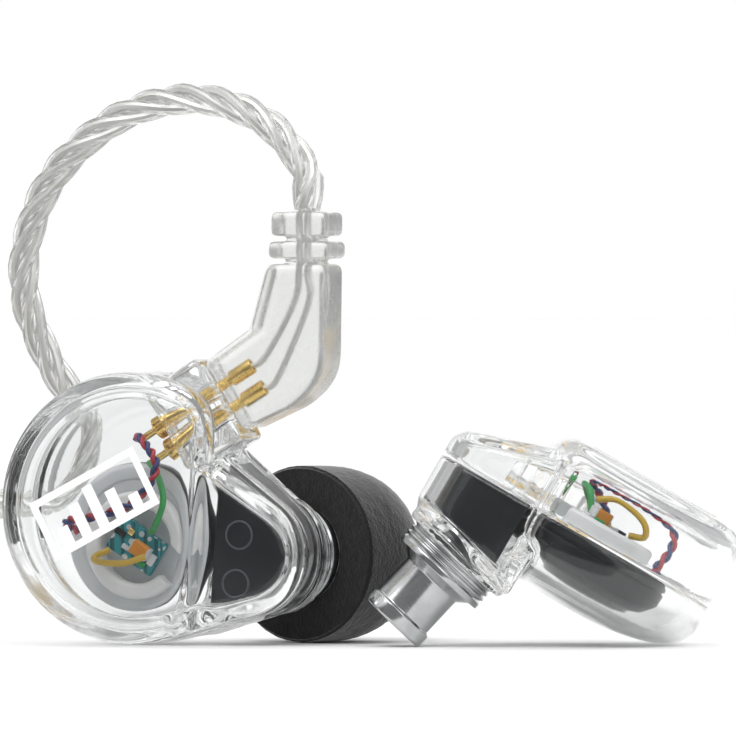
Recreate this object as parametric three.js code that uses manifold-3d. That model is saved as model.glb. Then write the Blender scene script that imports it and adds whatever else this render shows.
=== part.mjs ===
// A pair of in-ear monitors: two clear earpieces, a foam ear tip on the left one, and a two-pin cable
// with an ear loop, a coiled rest, a Y-split and a stereo jack. Millimetres, +Z up.
// An earpiece has its own frame: x runs from the rounded tail to the nose, y towards the cable socket,
// and z out of the printed face, with z = 0 on the joint between the two shell halves.
import * as THREE from "three";
import { LoftGeometry } from "three/addons/geometries/LoftGeometry.js";
import { RoundedBoxGeometry } from "three/addons/geometries/RoundedBoxGeometry.js";
import { mergeVertices } from "three/addons/utils/BufferGeometryUtils.js";
import Module from "manifold-3d";

const wasm = await Module();
wasm.setup();

const { PI, cos, sin, tan, max, min } = Math;
const DEGREE = PI / 180;

// ---------------------------------------------------------------- driving sizes
const GAP = 0.1; // air left between two pieces that touch
const WALL = 1.3; // shell wall thickness
const NOSE_WALL = 1.15;

const BODY = {
  radius: 10.3, // round tail, seen on the printed face
  shoulder: 6.3, // from the tail's centre to the step down to the nose
  squareness: 12, // how tightly the round meets the step
  coverTop: 5.97,
  coverRound: 1.9,
  shellFloor: -5.58,
  deepInset: 2, // the most the step draws back on the domed side
};
const NOSE = {
  centre: [8.4, -2.9],
  radius: 4.7,
  upperEdge: 57 * DEGREE, // directions square to its two straight edges
  lowerEdge: -70 * DEGREE,
  back: 3.6,
  rootHeight: 4.26, // height of its sloping top at the step
  rootX: 6.75,
  slope: 0.335,
  round: 0.9,
};
const NOZZLE = {
  base: [8.3, -3.0, -5.78],
  tilt: 13.5 * DEGREE,
  bore: 1.95,
  collarRadius: 3.9,
  collarLength: 2.4,
  barrelRadius: 2.475,
  lipRadius: 2.75,
  length: 7.5,
};
const SOCKET = {
  heading: 35.9 * DEGREE, // pin direction in the x-y plane
  faceAt: 10.09, // outer face, measured along the pins
  backAt: 5.2,
  offset: 3.6, // sideways shift of the block's middle line
  width: 7.1,
  thickness: 4.8,
  height: 0.4, // z of the pins
  pitch: 1.9,
};
const CONTACT = { outer: 0.68, bore: 0.47, back: 3.9, collar: 0.88 };
const PIN = { radius: 0.39, tipAt: 5.7, cupRadius: 0.6, cupFrom: 11.2, cupTo: 13.2 };
const PLUG = { width: 6, thickness: 4.2, top: 18.4, neckX: 13.0, neckTop: 22.4 };
const DRIVER = { centre: [-0.9, -2.4], radius: 5.7 };
const RING = { centre: [-0.3, -2.9], inner: 2.9, outer: 4.1, from: 0.1, to: 1.4 };
const BADGE = { centre: [-2.0, 0.2], turn: 32 * DEGREE, width: 9.6, height: 4.8, border: 0.55, thickness: 0.12 };
const FOAM = { radius: 6.75, from: 2.8, to: 12.3, boreRadius: 3.55, mouth: 2.3, frontRadius: 4.2 };
const CORE = { inner: 2.86, outer: 3.45, to: 9.4 };
const CABLE = { loopDiameter: 2.5, leadDiameter: 2 };
const COIL = { centre: [-49.8, 4], inner: 6, outer: 16, height: 9.6 };

// Poses: the left earpiece stands on its edge, turned to show its face; the right one lies on its nozzle.
const LEFT = { yaw: 22 * DEGREE, roll: 4.4 * DEGREE, place: [-16.5, 0, 10.47] };
const RIGHT = { pitch: 30 * DEGREE, place: [17.0, 0, 8.1] };
const CENTRE = [-0.26, -2.17, 0]; // brings the origin under the middle of both earpieces

// ---------------------------------------------------------------- finishes
function finish(color, roughness, metalness, opacity = 1) {
  return { color, roughness, metalness, opacity, transparent: opacity < 1 };
}
const CLEAR = finish(0xe8eef0, 0.05, 0, 0.35);
const FROSTED = finish(0xd9dedf, 0.4, 0, 0.6);
const BLACK = finish(0x17191c, 0.35, 0);
const STEEL = finish(0xb9bcc0, 0.3, 1);
const MESH_STEEL = finish(0x7c7f83, 0.5, 1);
const GOLD = finish(0xd9a441, 0.25, 1);
const WHITE_INK = finish(0xf6f6f4, 0.5, 0);
const FOAM_BLACK = finish(0x1d1d20, 0.95, 0);
const SILICONE = finish(0x2a2b2e, 0.6, 0);
const BOARD = finish(0x1f7f86, 0.5, 0);
const TANTALUM = finish(0xd98b2b, 0.45, 0);
const CABLE_CLEAR = finish(0xdcdcda, 0.25, 0, 0.7);
const WIRE_RED = finish(0xb02a35, 0.4, 0);
const WIRE_BLUE = finish(0x27356e, 0.4, 0);
const WIRE_GREEN = finish(0x2f9c4d, 0.4, 0);
const WIRE_YELLOW = finish(0xc9a63a, 0.4, 0);

// ---------------------------------------------------------------- solids
function solid(geometry) {
  const plain = new THREE.BufferGeometry().copy(geometry);
  plain.deleteAttribute("normal");
  plain.deleteAttribute("uv");
  const merged = mergeVertices(plain, 1e-4);
  return new wasm.Manifold(
    new wasm.Mesh({
      numProp: 3,
      vertProperties: merged.attributes.position.array,
      triVerts: new Uint32Array(merged.index.array),
    }),
  );
}

function piece(name, shape, look) {
  let geometry = shape;
  if (!shape.isBufferGeometry) {
    const { vertProperties, triVerts } = shape.getMesh();
    geometry = new THREE.BufferGeometry();
    geometry.setAttribute("position", new THREE.BufferAttribute(vertProperties, 3));
    geometry.setIndex(new THREE.BufferAttribute(triVerts, 1));
    geometry.computeVertexNormals();
  }
  const mesh = new THREE.Mesh(geometry, new THREE.MeshStandardMaterial(look));
  mesh.name = name;
  return mesh;
}

// A solid skinned through flat rings listed from the lowest to the highest.
function stack(rings) {
  return solid(new LoftGeometry(rings, { capStart: true, capEnd: true }));
}

function box(width, depth, height, x, y, z) {
  return solid(new THREE.BoxGeometry(width, depth, height).translate(x, y, z));
}

// A turned solid about z from [radius, height] pairs that start and end on the axis or close on themselves.
function turned(profile, sides = 24) {
  return new THREE.LatheGeometry(
    profile.map(([r, h]) => new THREE.Vector2(r, h)),
    sides,
  ).rotateX(PI / 2);
}

function tubeAlong(route, diameter, steps, sides = 8) {
  const curve = new THREE.CatmullRomCurve3(route.map((p) => new THREE.Vector3(...p)));
  const section = new THREE.Shape().absarc(0, 0, diameter / 2, 0, 2 * PI, false);
  return new THREE.ExtrudeGeometry(section, {
    steps,
    extrudePath: curve,
    curveSegments: sides / 2,
    bevelEnabled: false,
  });
}

// ---------------------------------------------------------------- shell outlines
const BODY_POINTS = 36;
const NOSE_ARC_POINTS = 9;

// The rounded body: a circle cut by the straight step, drawn in by `inset`.
function bodyRing(inset, z) {
  const { radius, shoulder, squareness, deepInset } = BODY;
  const round = radius - inset;
  const front = shoulder - min(inset, deepInset);
  const ring = [];
  for (let i = 0; i < BODY_POINTS; i++) {
    const angle = (i / BODY_POINTS) * 2 * PI;
    const reach = max(0, cos(angle)) / front;
    const r = (round ** -squareness + reach ** squareness) ** (-1 / squareness);
    ring.push(new THREE.Vector3(r * cos(angle), r * sin(angle), z));
  }
  return ring;
}

// The nose: an arc with two straight edges running back into the body; `heightAt` gives z for an x.
function noseRing(inset, heightAt, back = NOSE.back) {
  const [cx, cy] = NOSE.centre;
  const r = NOSE.radius - inset;
  const { upperEdge, lowerEdge } = NOSE;
  const ring = [];
  for (let i = 0; i <= NOSE_ARC_POINTS; i++) {
    const angle = lowerEdge + (i / NOSE_ARC_POINTS) * (upperEdge - lowerEdge);
    ring.push([cx + r * cos(angle), cy + r * sin(angle)]);
  }
  const [upperX, upperY] = ring[NOSE_ARC_POINTS];
  const [lowerX, lowerY] = ring[0];
  ring.push([back, upperY + (upperX - back) / tan(upperEdge)]);
  ring.push([back, lowerY + (lowerX - back) / tan(lowerEdge)]);
  return ring.map(([x, y]) => new THREE.Vector3(x, y, heightAt(x)));
}

const noseTop = (x) => NOSE.rootHeight - NOSE.slope * (x - NOSE.rootX);
const noseFloor = (x) => NOZZLE.base[2] + tan(NOZZLE.tilt) * (x - NOZZLE.base[0]);

// Height and inset steps of a quarter-round edge of the given radius ending at height `top`.
function roundedEdge(top, radius, inset, steps) {
  const levels = [];
  for (let i = 0; i <= steps; i++) {
    const angle = (i / steps) * (PI / 2);
    levels.push([top - radius * (1 - sin(angle)), inset + radius * (1 - cos(angle))]);
  }
  return levels;
}

function coverOutside() {
  const { coverTop, coverRound } = BODY;
  const body = [[GAP / 2, 0], ...roundedEdge(coverTop, coverRound, 0, 5)];
  const nose = roundedEdge(0, NOSE.round, 0, 3);
  return stack(body.map(([z, inset]) => bodyRing(inset, z))).add(
    stack([
      noseRing(0, () => GAP / 2),
      ...nose.map(([drop, inset]) => noseRing(inset, (x) => noseTop(x) + drop)),
    ]),
  );
}

function coverCavity() {
  const ceiling = BODY.coverTop - 1.15;
  const body = [[-0.5, WALL], ...roundedEdge(ceiling, 0.9, WALL, 2)];
  return stack(body.map(([z, inset]) => bodyRing(inset, z))).add(
    stack([noseRing(NOSE_WALL, () => -0.5), noseRing(NOSE_WALL, (x) => noseTop(x) - 1)]),
  );
}

// The domed inner side, as [height, inset] levels from the deepest up to the joint.
const SHELL_LEVELS = [
  [BODY.shellFloor, 8],
  [-5.45, 6.2],
  [-5.1, 4.2],
  [-4.5, 2.2],
  [-3.7, 0.9],
  [-3.0, 0.3],
  [-2.1, 0],
  [-GAP / 2, 0],
];
const SHELL_CAVITY_LEVELS = [
  [-4.55, 8],
  [-4.3, 5.6],
  [-3.8, 3.6],
  [-3.2, 2.3],
  [-2.5, 1.6],
  [-1.6, WALL],
  [0.5, WALL],
];

function shellOutside() {
  const nose = roundedEdge(0, 1.1, 0, 3).reverse();
  return stack(SHELL_LEVELS.map(([z, inset]) => bodyRing(inset, z))).add(
    stack([
      ...nose.map(([drop, inset]) => noseRing(inset, (x) => noseFloor(x) - drop)),
      noseRing(0, () => -GAP / 2),
    ]),
  );
}

function shellCavity() {
  return stack(SHELL_CAVITY_LEVELS.map(([z, inset]) => bodyRing(inset, z))).add(
    stack([
      noseRing(NOSE_WALL, (x) => noseFloor(x) + 1.1, NOSE.back + 1),
      noseRing(NOSE_WALL, () => 0.5, NOSE.back + 1),
    ]),
  );
}

// ---------------------------------------------------------------- frames inside an earpiece
function alongNozzle(geometry) {
  return geometry.rotateX(PI).rotateY(-NOZZLE.tilt).translate(...NOZZLE.base);
}

// Places a part drawn with x along the pins, y across them and z out of the face.
function alongPins(geometry, sideways = SOCKET.offset) {
  return geometry.translate(0, sideways, SOCKET.height).rotateZ(SOCKET.heading);
}

function socketNotch() {
  const { faceAt, backAt, width, thickness } = SOCKET;
  const length = faceAt - backAt + 4;
  const space = new THREE.BoxGeometry(length, width + 2 * GAP, thickness + 2 * GAP);
  return solid(alongPins(space.translate(backAt - 2 * GAP + length / 2, 0, 0)));
}

// A solid rib that ties the body to the nose beside the step.
function stepRib() {
  return box(2.5, 2.6, 10, 5.95, -8.4, 0);
}

function faceCover() {
  return coverOutside().subtract(coverCavity().subtract(stepRib())).subtract(socketNotch());
}

function innerShell() {
  const rim = turned([[0, -0.7], [4.4, -0.7], [4.4, 0.65], [0, 0.65]], 32);
  const seat = turned([[0, 0], [4.0, 0], [4.0, 2], [0, 2]], 32);
  const port = turned([[0, -2], [2.1, -2], [2.1, 1], [0, 1]]);
  return shellOutside()
    .add(solid(alongNozzle(rim)))
    .subtract(shellCavity().subtract(stepRib()))
    .subtract(socketNotch())
    .subtract(solid(alongNozzle(seat)))
    .subtract(solid(alongNozzle(port)));
}

// ---------------------------------------------------------------- pieces inside an earpiece
function dynamicDriver() {
  const { centre, radius } = DRIVER;
  const profile = [
    [0, -4.3],
    [1.8, -4.2],
    [3.4, -3.75],
    [5.0, -3.1],
    [radius, -2.55],
    [radius, -0.7],
    [radius - 0.3, -0.2],
    [0, -0.2],
  ];
  return turned(profile, 28).translate(...centre, 0);
}

function driverRing() {
  const { centre, inner, outer, from, to } = RING;
  const edge = 0.25;
  const profile = [
    [inner, from],
    [outer, from],
    [outer, to - edge],
    [outer - edge, to],
    [inner + edge, to],
    [inner, to - edge],
    [inner, from],
  ];
  return turned(profile, 28).translate(...centre, 0);
}

// The black block in the nose, with two round marks on its face.
function noseCarrier() {
  const inset = NOSE_WALL + 0.2;
  const back = 5.3;
  const block = stack([
    noseRing(inset, (x) => noseFloor(x) + 1.25, back),
    noseRing(inset, () => -0.4, back),
  ]).subtract(stepRibClearance());
  const mark = () => turned([[0, -1], [1.1, -1], [1.1, -0.2], [0, -0.2]], 20);
  return block.add(solid(mark().translate(7.3, -1.5, 0))).add(solid(mark().translate(7.3, -5.2, 0)));
}

function stepRibClearance() {
  return box(2.5 + 2 * GAP, 2.6 + 2 * GAP, 14, 5.95, -8.4, 0);
}

function crossoverBoard() {
  return new THREE.BoxGeometry(4.2, 2.8, 0.6).rotateZ(-0.5).translate(-0.2, -2.9, 1.0);
}

function capacitor() {
  return new RoundedBoxGeometry(1.6, 1.1, 0.9, 1, 0.15).rotateZ(-0.5).translate(0.4, -3.2, 1.85);
}

function socketBlock() {
  const { faceAt, backAt, width, thickness, pitch } = SOCKET;
  const length = faceAt - backAt;
  const block = solid(
    new RoundedBoxGeometry(length, width, thickness, 2, 0.45).translate(backAt + length / 2, 0, 0),
  );
  const bore = (side) =>
    solid(
      turned([[0, backAt - 1], [0.78, backAt - 1], [0.78, faceAt + 1], [0, faceAt + 1]], 16)
        .rotateY(PI / 2)
        .translate(0, (side * pitch) / 2, 0),
    );
  const { offset, height, heading } = SOCKET;
  return block
    .subtract(bore(1))
    .subtract(bore(-1))
    .translate([0, offset, height])
    .rotate([0, 0, heading / DEGREE]);
}

// A gold socket contact: a knurled collar at the back, a tube for the pin, and a solder tail.
function contact(side) {
  const { outer, bore, back, collar } = CONTACT;
  const mouth = SOCKET.faceAt - 0.15;
  const profile = [
    [0, back - 1.4],
    [0.28, back - 1.4],
    [0.28, back],
    [collar, back],
    [collar, back + 1.1],
    [outer, back + 1.1],
    [outer, mouth],
    [bore, mouth],
    [bore, PIN.tipAt - 0.3],
    [0, PIN.tipAt - 0.3],
  ];
  return alongPins(turned(profile, 12).rotateY(PI / 2), SOCKET.offset + (side * SOCKET.pitch) / 2);
}

// The machined nozzle: a grooved collar, a short cone, a barrel and a lip that holds the ear tip.
function nozzle() {
  const { bore, collarRadius, collarLength, barrelRadius, lipRadius, length } = NOZZLE;
  const profile = [[bore, GAP], [3.3, GAP]];
  const step = (collarLength - 0.5) / 4;
  for (let i = 0; i < 3; i++) {
    const h = 0.4 + i * step;
    profile.push([collarRadius - 0.12, h], [collarRadius, h + 0.1]);
    profile.push([collarRadius, h + step - 0.2], [collarRadius - 0.12, h + step - 0.1]);
  }
  profile.push(
    [collarRadius, collarLength - 0.4],
    [collarRadius, collarLength],
    [3.3, collarLength],
    [barrelRadius, 3.05],
    [barrelRadius, length - 1.25],
    [lipRadius, length - 1.1],
    [lipRadius, length - 0.15],
    [lipRadius - 0.15, length],
    [bore, length],
    [bore, GAP],
  );
  return alongNozzle(turned(profile, 20));
}

function nozzleMesh() {
  const r = NOZZLE.bore - GAP;
  return alongNozzle(turned([[0, 6.6], [r, 6.6], [r, 6.85], [0, 6.85]], 16));
}

function soundTube() {
  const profile = [[1.15, -0.95], [1.75, -0.95], [1.75, 6.2], [1.15, 6.2], [1.15, -0.95]];
  return alongNozzle(turned(profile, 20));
}

// A plain mark printed on the face: a frame with five level bars standing on its lower side.
function badge() {
  const { centre, turn, width, height, border, thickness } = BADGE;
  const levels = [0.4, 0.7, 0.9, 0.6, 0.3];
  const pitch = (width - 2 * border) / (levels.length + 0.4);
  const room = height - 2 * border;
  const z = BODY.coverTop + 0.06 + thickness / 2;
  const opening = box(width - 2 * border, room, 1, 0, 0, 0);
  let mark = box(width, height, thickness, 0, 0, 0).subtract(opening);
  levels.forEach((level, i) => {
    const x = (i - (levels.length - 1) / 2) * pitch;
    const tall = room * level + border / 2;
    mark = mark.add(box(pitch * 0.55, tall, thickness, x, (tall - border / 2 - room) / 2 - border / 4, 0));
  });
  return mark.rotate([0, 0, turn / DEGREE]).translate([...centre, z]);
}

const WIRES = [
  ["wire_red", WIRE_RED, [[-0.9, 4.9, 0.8], [0.6, 4.6, 2.6], [2.6, 2.6, 4.0], [1.0, 0, 4.3],
    [-1.8, -1.2, 4.35], [-4.6, -1.8, 3.7], [-5.2, -2.3, 2.3], [-4.9, -2.6, 0.5]]],
  ["wire_blue", WIRE_BLUE, [[-1.1, 5.6, 0.8], [0, 5.6, 2.6], [1.6, 3.9, 3.9], [0.4, 1.2, 4.25],
    [-2.2, -0.2, 4.3], [-5.0, -0.9, 3.6], [-5.7, -1.5, 2.2], [-5.4, -2.0, 0.5]]],
  ["wire_green", WIRE_GREEN, [[0.2, 3.4, 0.8], [1.6, 2.6, 2.4], [2.6, 0.8, 3.3], [2.0, -1.2, 3.1],
    [1.1, -1.8, 1.7]]],
  ["wire_yellow", WIRE_YELLOW, [[1.2, -3.6, 2.8], [-0.2, -4.2, 3.5], [-2.4, -4.3, 3.1], [-3.2, -4.0, 2.1],
    [-2.2, -3.4, 1.6]]],
];
const WIRE_DIAMETER = 0.5;

function earpiece(side) {
  const group = new THREE.Group();
  const add = (name, shape, look) => group.add(piece(side + "_" + name, shape, look));
  add("face_cover", faceCover(), CLEAR);
  add("inner_shell", innerShell(), CLEAR);
  add("dynamic_driver", dynamicDriver(), BLACK);
  add("driver_ring", driverRing(), FROSTED);
  add("nose_carrier", noseCarrier(), BLACK);
  add("crossover_board", crossoverBoard(), BOARD);
  add("capacitor", capacitor(), TANTALUM);
  add("socket_block", socketBlock(), CLEAR);
  add("contact_outer", contact(1), GOLD);
  add("contact_inner", contact(-1), GOLD);
  add("nozzle", nozzle(), STEEL);
  add("nozzle_mesh", nozzleMesh(), MESH_STEEL);
  add("sound_tube", soundTube(), SILICONE);
  add("badge", badge(), WHITE_INK);
  for (const [name, look, route] of WIRES) {
    add(name, tubeAlong(route, WIRE_DIAMETER, 12, 6), look);
  }
  return group;
}

// ---------------------------------------------------------------- ear tip
function foamTip() {
  const { radius, from, to, boreRadius, mouth, frontRadius } = FOAM;
  const profile = [
    [boreRadius, from],
    [radius - 0.25, from],
    [radius, from + 0.3],
    [radius, from + 3.6],
  ];
  const bulge = 5;
  for (let i = 1; i <= bulge; i++) {
    const angle = (i / bulge) * (PI / 2);
    const length = to - 0.5 - (from + 3.6);
    profile.push([frontRadius + (radius - frontRadius) * cos(angle), from + 3.6 + length * sin(angle)]);
  }
  profile.push([frontRadius - 0.6, to], [mouth, to], [mouth, CORE.to + 0.2]);
  profile.push([boreRadius, CORE.to + 0.2], [boreRadius, from]);
  return alongNozzle(turned(profile, 24));
}

function tipCore() {
  const { inner, outer, to } = CORE;
  const profile = [[inner, FOAM.from], [outer, FOAM.from], [outer, to], [inner, to], [inner, FOAM.from]];
  return alongNozzle(turned(profile, 24));
}

// ---------------------------------------------------------------- cable plug
// Drawn in the earpiece's upright frame: x level, y up, with the pins rising at 31.5 degrees.
const PIN_RISE = SOCKET.heading - LEFT.roll;

function upright(t, s) {
  return [t * cos(PIN_RISE) - s * sin(PIN_RISE), t * sin(PIN_RISE) + s * cos(PIN_RISE)];
}

function plugBody() {
  const { width, thickness, top, neckX, neckTop } = PLUG;
  const start = SOCKET.faceAt + 0.15;
  const lower = upright(start, SOCKET.offset - width / 2);
  const upper = upright(start, SOCKET.offset + width / 2);
  const bevel = 0.5;
  const outline = new THREE.Shape();
  outline.moveTo(...lower);
  outline.lineTo(12.3, 7.6);
  outline.quadraticCurveTo(15.1, 9.2, 15.1, 11.6);
  outline.lineTo(15.2, top);
  outline.lineTo(10.4, top);
  outline.lineTo(9.0, 13.5);
  outline.lineTo(...upper);
  const elbow = new THREE.ExtrudeGeometry(outline, {
    depth: thickness - 2 * bevel,
    curveSegments: 6,
    bevelEnabled: true,
    bevelThickness: bevel,
    bevelSize: bevel,
    bevelOffset: -bevel,
    bevelSegments: 2,
  }).translate(0, 0, SOCKET.height - thickness / 2 + bevel);
  const rib = (ribWidth, from, to) =>
    solid(
      new RoundedBoxGeometry(ribWidth, to - from, thickness - 0.2, 2, 0.35)
        .translate(neckX, (from + to) / 2, SOCKET.height),
    );
  const neck = solid(
    turned([[0, top - 1], [1.55, top - 1], [1.45, neckTop], [0, neckTop]], 20)
      .rotateX(-PI / 2)
      .translate(neckX, 0, SOCKET.height),
  );
  let body = solid(elbow).add(neck).add(rib(4.8, 18.8, 20.1)).add(rib(4.4, 20.5, 22.3));
  for (const side of [1, -1]) body = body.subtract(pinHollow(side));
  return body;
}

// The blind hole each pin is set in, 0.1 mm larger than the pin all round.
function pinHollow(side) {
  const { radius, cupRadius, cupFrom, cupTo } = PIN;
  const start = SOCKET.faceAt - 1;
  const profile = [
    [0, start],
    [radius + GAP, start],
    [radius + GAP, cupFrom - GAP],
    [cupRadius + GAP, cupFrom - GAP],
    [cupRadius + GAP, cupTo + GAP],
    [0, cupTo + GAP],
  ];
  return solid(onPinLine(turned(profile, 16), side));
}

function onPinLine(geometry, side) {
  return geometry
    .rotateY(PI / 2)
    .translate(0, SOCKET.offset + (side * SOCKET.pitch) / 2, SOCKET.height)
    .rotateZ(PIN_RISE);
}

function plugPin(side) {
  const { radius, tipAt, cupRadius, cupFrom, cupTo } = PIN;
  const profile = [
    [0, tipAt],
    [radius - 0.15, tipAt],
    [radius, tipAt + 0.25],
    [radius, cupFrom],
    [cupRadius, cupFrom],
    [cupRadius, cupTo],
    [0, cupTo],
  ];
  return onPinLine(turned(profile, 12), side);
}

function plug(side) {
  const group = new THREE.Group();
  group.add(piece(side + "_plug", plugBody(), CLEAR));
  group.add(piece(side + "_pin_outer", plugPin(1), GOLD));
  group.add(piece(side + "_pin_inner", plugPin(-1), GOLD));
  return group;
}

// ---------------------------------------------------------------- cable and jack
// The ear loop: up from the plug, over, down behind the left earpiece and out to the coil.
const LOOP_ROUTE = [
  [-4.6, -5.25, 33.05],
  [-4.55, -5.2, 34.3],
  [-4.8, -4.5, 36.2],
  [-8.0, -2.4, 39.8],
  [-13.1, 1.0, 41.4],
  [-18.6, 4.6, 40.2],
  [-23.5, 7.7, 36.3],
  [-26.0, 10.0, 31.3],
  [-26.3, 11.4, 26.2],
  [-24.4, 12.4, 21.2],
  [-21.6, 13.0, 16.3],
  [-23.5, 13.6, 11.6],
  [-30.0, 15.2, 10.2],
  [-38.5, 17.7, 9.8],
];
const RIGHT_LEAD_ROUTE = [
  [-67.3, 7.0, 7.6],
  [-66.6, 11.8, 9.6],
  [-63.6, 15.6, 11.2],
  [-59.0, 17.0, 11.8],
  [-54.5, 17.0, 11.8],
];
const JACK = { x: -69.5, front: -20, contact: 14, body: 14, relief: 7, radius: 3.1, contactRadius: 1.75 };
const JACK_LEAD_ROUTE = [
  [-69.5, 15.4, 3.15],
  [-68.9, 18.0, 3.2],
  [-66.2, 20.4, 3.4],
  [-62.0, 21.3, 3.7],
  [-57.0, 21.2, 4.1],
];

function cableCoil() {
  const { centre, inner, outer, height } = COIL;
  const edge = 1;
  const profile = [
    [inner + edge, 0],
    [outer - edge, 0],
    [outer, edge],
    [outer, height - edge],
    [outer - edge, height],
    [inner + edge, height],
    [inner, height - edge],
    [inner, edge],
    [inner + edge, 0],
  ];
  return turned(profile, 28).translate(...centre, 0);
}

function ySplit() {
  const profile = [[0, -6], [1.3, -6], [1.5, -4.5], [2.0, 0], [2.1, 4.6], [1.7, 5.5], [0, 5.5]];
  const [x, y] = COIL.centre;
  return turned(profile, 20).rotateX(-PI / 2).translate(x - 10.5, y, COIL.height + 2.15);
}

// Jack pieces are turned about Y with the contact pointing towards -Y.
function jackTurned(profile, sides = 16) {
  const { x, front, radius } = JACK;
  return turned(profile, sides).rotateX(-PI / 2).translate(x, front, radius + 0.05);
}

function jackContact() {
  const { contact: length, contactRadius: r } = JACK;
  const profile = [[0, 0], [0.7, 0.1], [1.3, 1.1], [1.1, 2.0], [r, 2.8], [r, 4.2], [r - 0.12, 4.3]];
  profile.push([r - 0.12, 4.7], [r, 4.8], [r, 7.4], [r - 0.12, 7.5], [r - 0.12, 7.9], [r, 8.0]);
  profile.push([r, length - GAP], [0, length - GAP]);
  return jackTurned(profile);
}

function jackBody() {
  const { contact: from, body: length, radius } = JACK;
  const to = from + length;
  const profile = [[0, from], [2.6, from], [2.6, from + 1], [radius, from + 1.2]];
  profile.push([radius, to - 0.4], [radius - 0.4, to], [0, to]);
  return jackTurned(profile, 24);
}

function jackRelief() {
  const from = JACK.contact + JACK.body + GAP;
  const profile = [[0, from], [2.2, from]];
  for (let i = 0; i < 3; i++) {
    const h = from + 1 + i * 1.9;
    const r = 2.1 - i * 0.25;
    profile.push([r, h], [r - 0.35, h + 0.2], [r - 0.35, h + 0.8], [r - 0.1, h + 1]);
  }
  profile.push([1.35, from + JACK.relief], [0, from + JACK.relief]);
  return jackTurned(profile);
}

function cable() {
  const { loopDiameter, leadDiameter } = CABLE;
  const group = new THREE.Group();
  group.add(piece("ear_loop_cable", tubeAlong(LOOP_ROUTE, loopDiameter, 44, 8), CABLE_CLEAR));
  group.add(piece("cable_coil", cableCoil(), CABLE_CLEAR));
  group.add(piece("y_split", ySplit(), SILICONE));
  group.add(piece("right_lead", tubeAlong(RIGHT_LEAD_ROUTE, leadDiameter, 12, 8), CABLE_CLEAR));
  group.add(piece("jack_lead", tubeAlong(JACK_LEAD_ROUTE, leadDiameter, 6, 8), CABLE_CLEAR));
  group.add(piece("jack_relief", jackRelief(), SILICONE));
  group.add(piece("jack_body", jackBody(), STEEL));
  group.add(piece("jack_contact", jackContact(), GOLD));
  return group;
}

// ---------------------------------------------------------------- poses
function placed(group, x, y, z, place) {
  group.matrixAutoUpdate = false;
  group.matrix.makeBasis(x, y, z).setPosition(...place);
  return group;
}

const facing = new THREE.Vector3(-sin(LEFT.yaw), -cos(LEFT.yaw), 0);
const level = new THREE.Vector3(cos(LEFT.yaw), -sin(LEFT.yaw), 0);
const up = new THREE.Vector3(0, 0, 1);

// The left earpiece: its nose dips by the roll, about the direction its face looks in.
function leftPose(group) {
  const x = level.clone().multiplyScalar(cos(LEFT.roll)).addScaledVector(up, -sin(LEFT.roll));
  const y = level.clone().multiplyScalar(sin(LEFT.roll)).addScaledVector(up, cos(LEFT.roll));
  return placed(group, x, y, facing, LEFT.place);
}

function leftPlugPose(group) {
  return placed(group, level, up, facing, LEFT.place);
}

// The right earpiece: the mirror image of the left one, face up, leaning on its nozzle.
function rightPose(group) {
  const x = new THREE.Vector3(-cos(RIGHT.pitch), 0, sin(RIGHT.pitch));
  const z = new THREE.Vector3(sin(RIGHT.pitch), 0, cos(RIGHT.pitch));
  return placed(group, x, new THREE.Vector3(0, 1, 0), z, RIGHT.place);
}

// The unplugged right plug lies flat on the coil, its neck towards -X.
function rightPlugPose(group) {
  const [leadX, leadY] = RIGHT_LEAD_ROUTE.at(-1);
  const place = [leadX + 0.3 + PLUG.neckTop, leadY - PLUG.neckX, COIL.height + 1.8];
  const x = new THREE.Vector3(0, 1, 0);
  const y = new THREE.Vector3(-1, 0, 0);
  return placed(group, x, y, up, place);
}

const root = new THREE.Group();
root.name = "in_ear_monitors";
const tip = new THREE.Group();
tip.add(piece("foam_tip", foamTip(), FOAM_BLACK), piece("tip_core", tipCore(), SILICONE));
root.add(leftPose(earpiece("left")), leftPose(tip), rightPose(earpiece("right")));
root.add(leftPlugPose(plug("left")), rightPlugPose(plug("right")), cable());
root.position.set(...CENTRE);

export default root;
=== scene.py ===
"""Build the visual model of a pair of in-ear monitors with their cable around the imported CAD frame."""
import logging
from dataclasses import dataclass, field
from enum import Enum
from math import cos, hypot, pi, radians, sin, tan
from typing import Callable, Sequence

import bmesh
import bpy
from mathutils import Euler, Matrix, Vector


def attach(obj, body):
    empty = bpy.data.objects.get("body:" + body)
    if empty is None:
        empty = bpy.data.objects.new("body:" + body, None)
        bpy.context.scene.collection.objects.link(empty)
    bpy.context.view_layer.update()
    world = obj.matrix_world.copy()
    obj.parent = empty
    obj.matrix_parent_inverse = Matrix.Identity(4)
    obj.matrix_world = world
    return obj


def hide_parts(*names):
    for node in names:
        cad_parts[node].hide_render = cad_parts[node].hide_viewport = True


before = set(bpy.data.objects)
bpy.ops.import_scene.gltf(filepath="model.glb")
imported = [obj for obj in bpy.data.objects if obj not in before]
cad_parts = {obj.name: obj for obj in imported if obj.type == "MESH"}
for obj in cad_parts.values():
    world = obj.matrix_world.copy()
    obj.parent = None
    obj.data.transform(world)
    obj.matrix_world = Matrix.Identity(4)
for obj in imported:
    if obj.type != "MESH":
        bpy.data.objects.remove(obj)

LOG = logging.getLogger("in_ear_monitors")
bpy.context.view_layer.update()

MM = 0.001
CENTRE = Vector((-0.26, -2.17, 0))
TO_FRAME = Matrix.Scale(MM, 4) @ Matrix.Translation(CENTRE)
SEAM_GAP = 0.1

Point = Sequence[float]
Ring = list[Vector]


class Side(Enum):
    """The two earpieces of the pair."""

    LEFT = "left"
    RIGHT = "right"


class Body(Enum):
    """The rigid bodies that pieces ride on."""

    LEFT = "left_earpiece"
    RIGHT = "right_earpiece"
    TIP = "ear_tip"
    CABLE = "cable"


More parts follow.
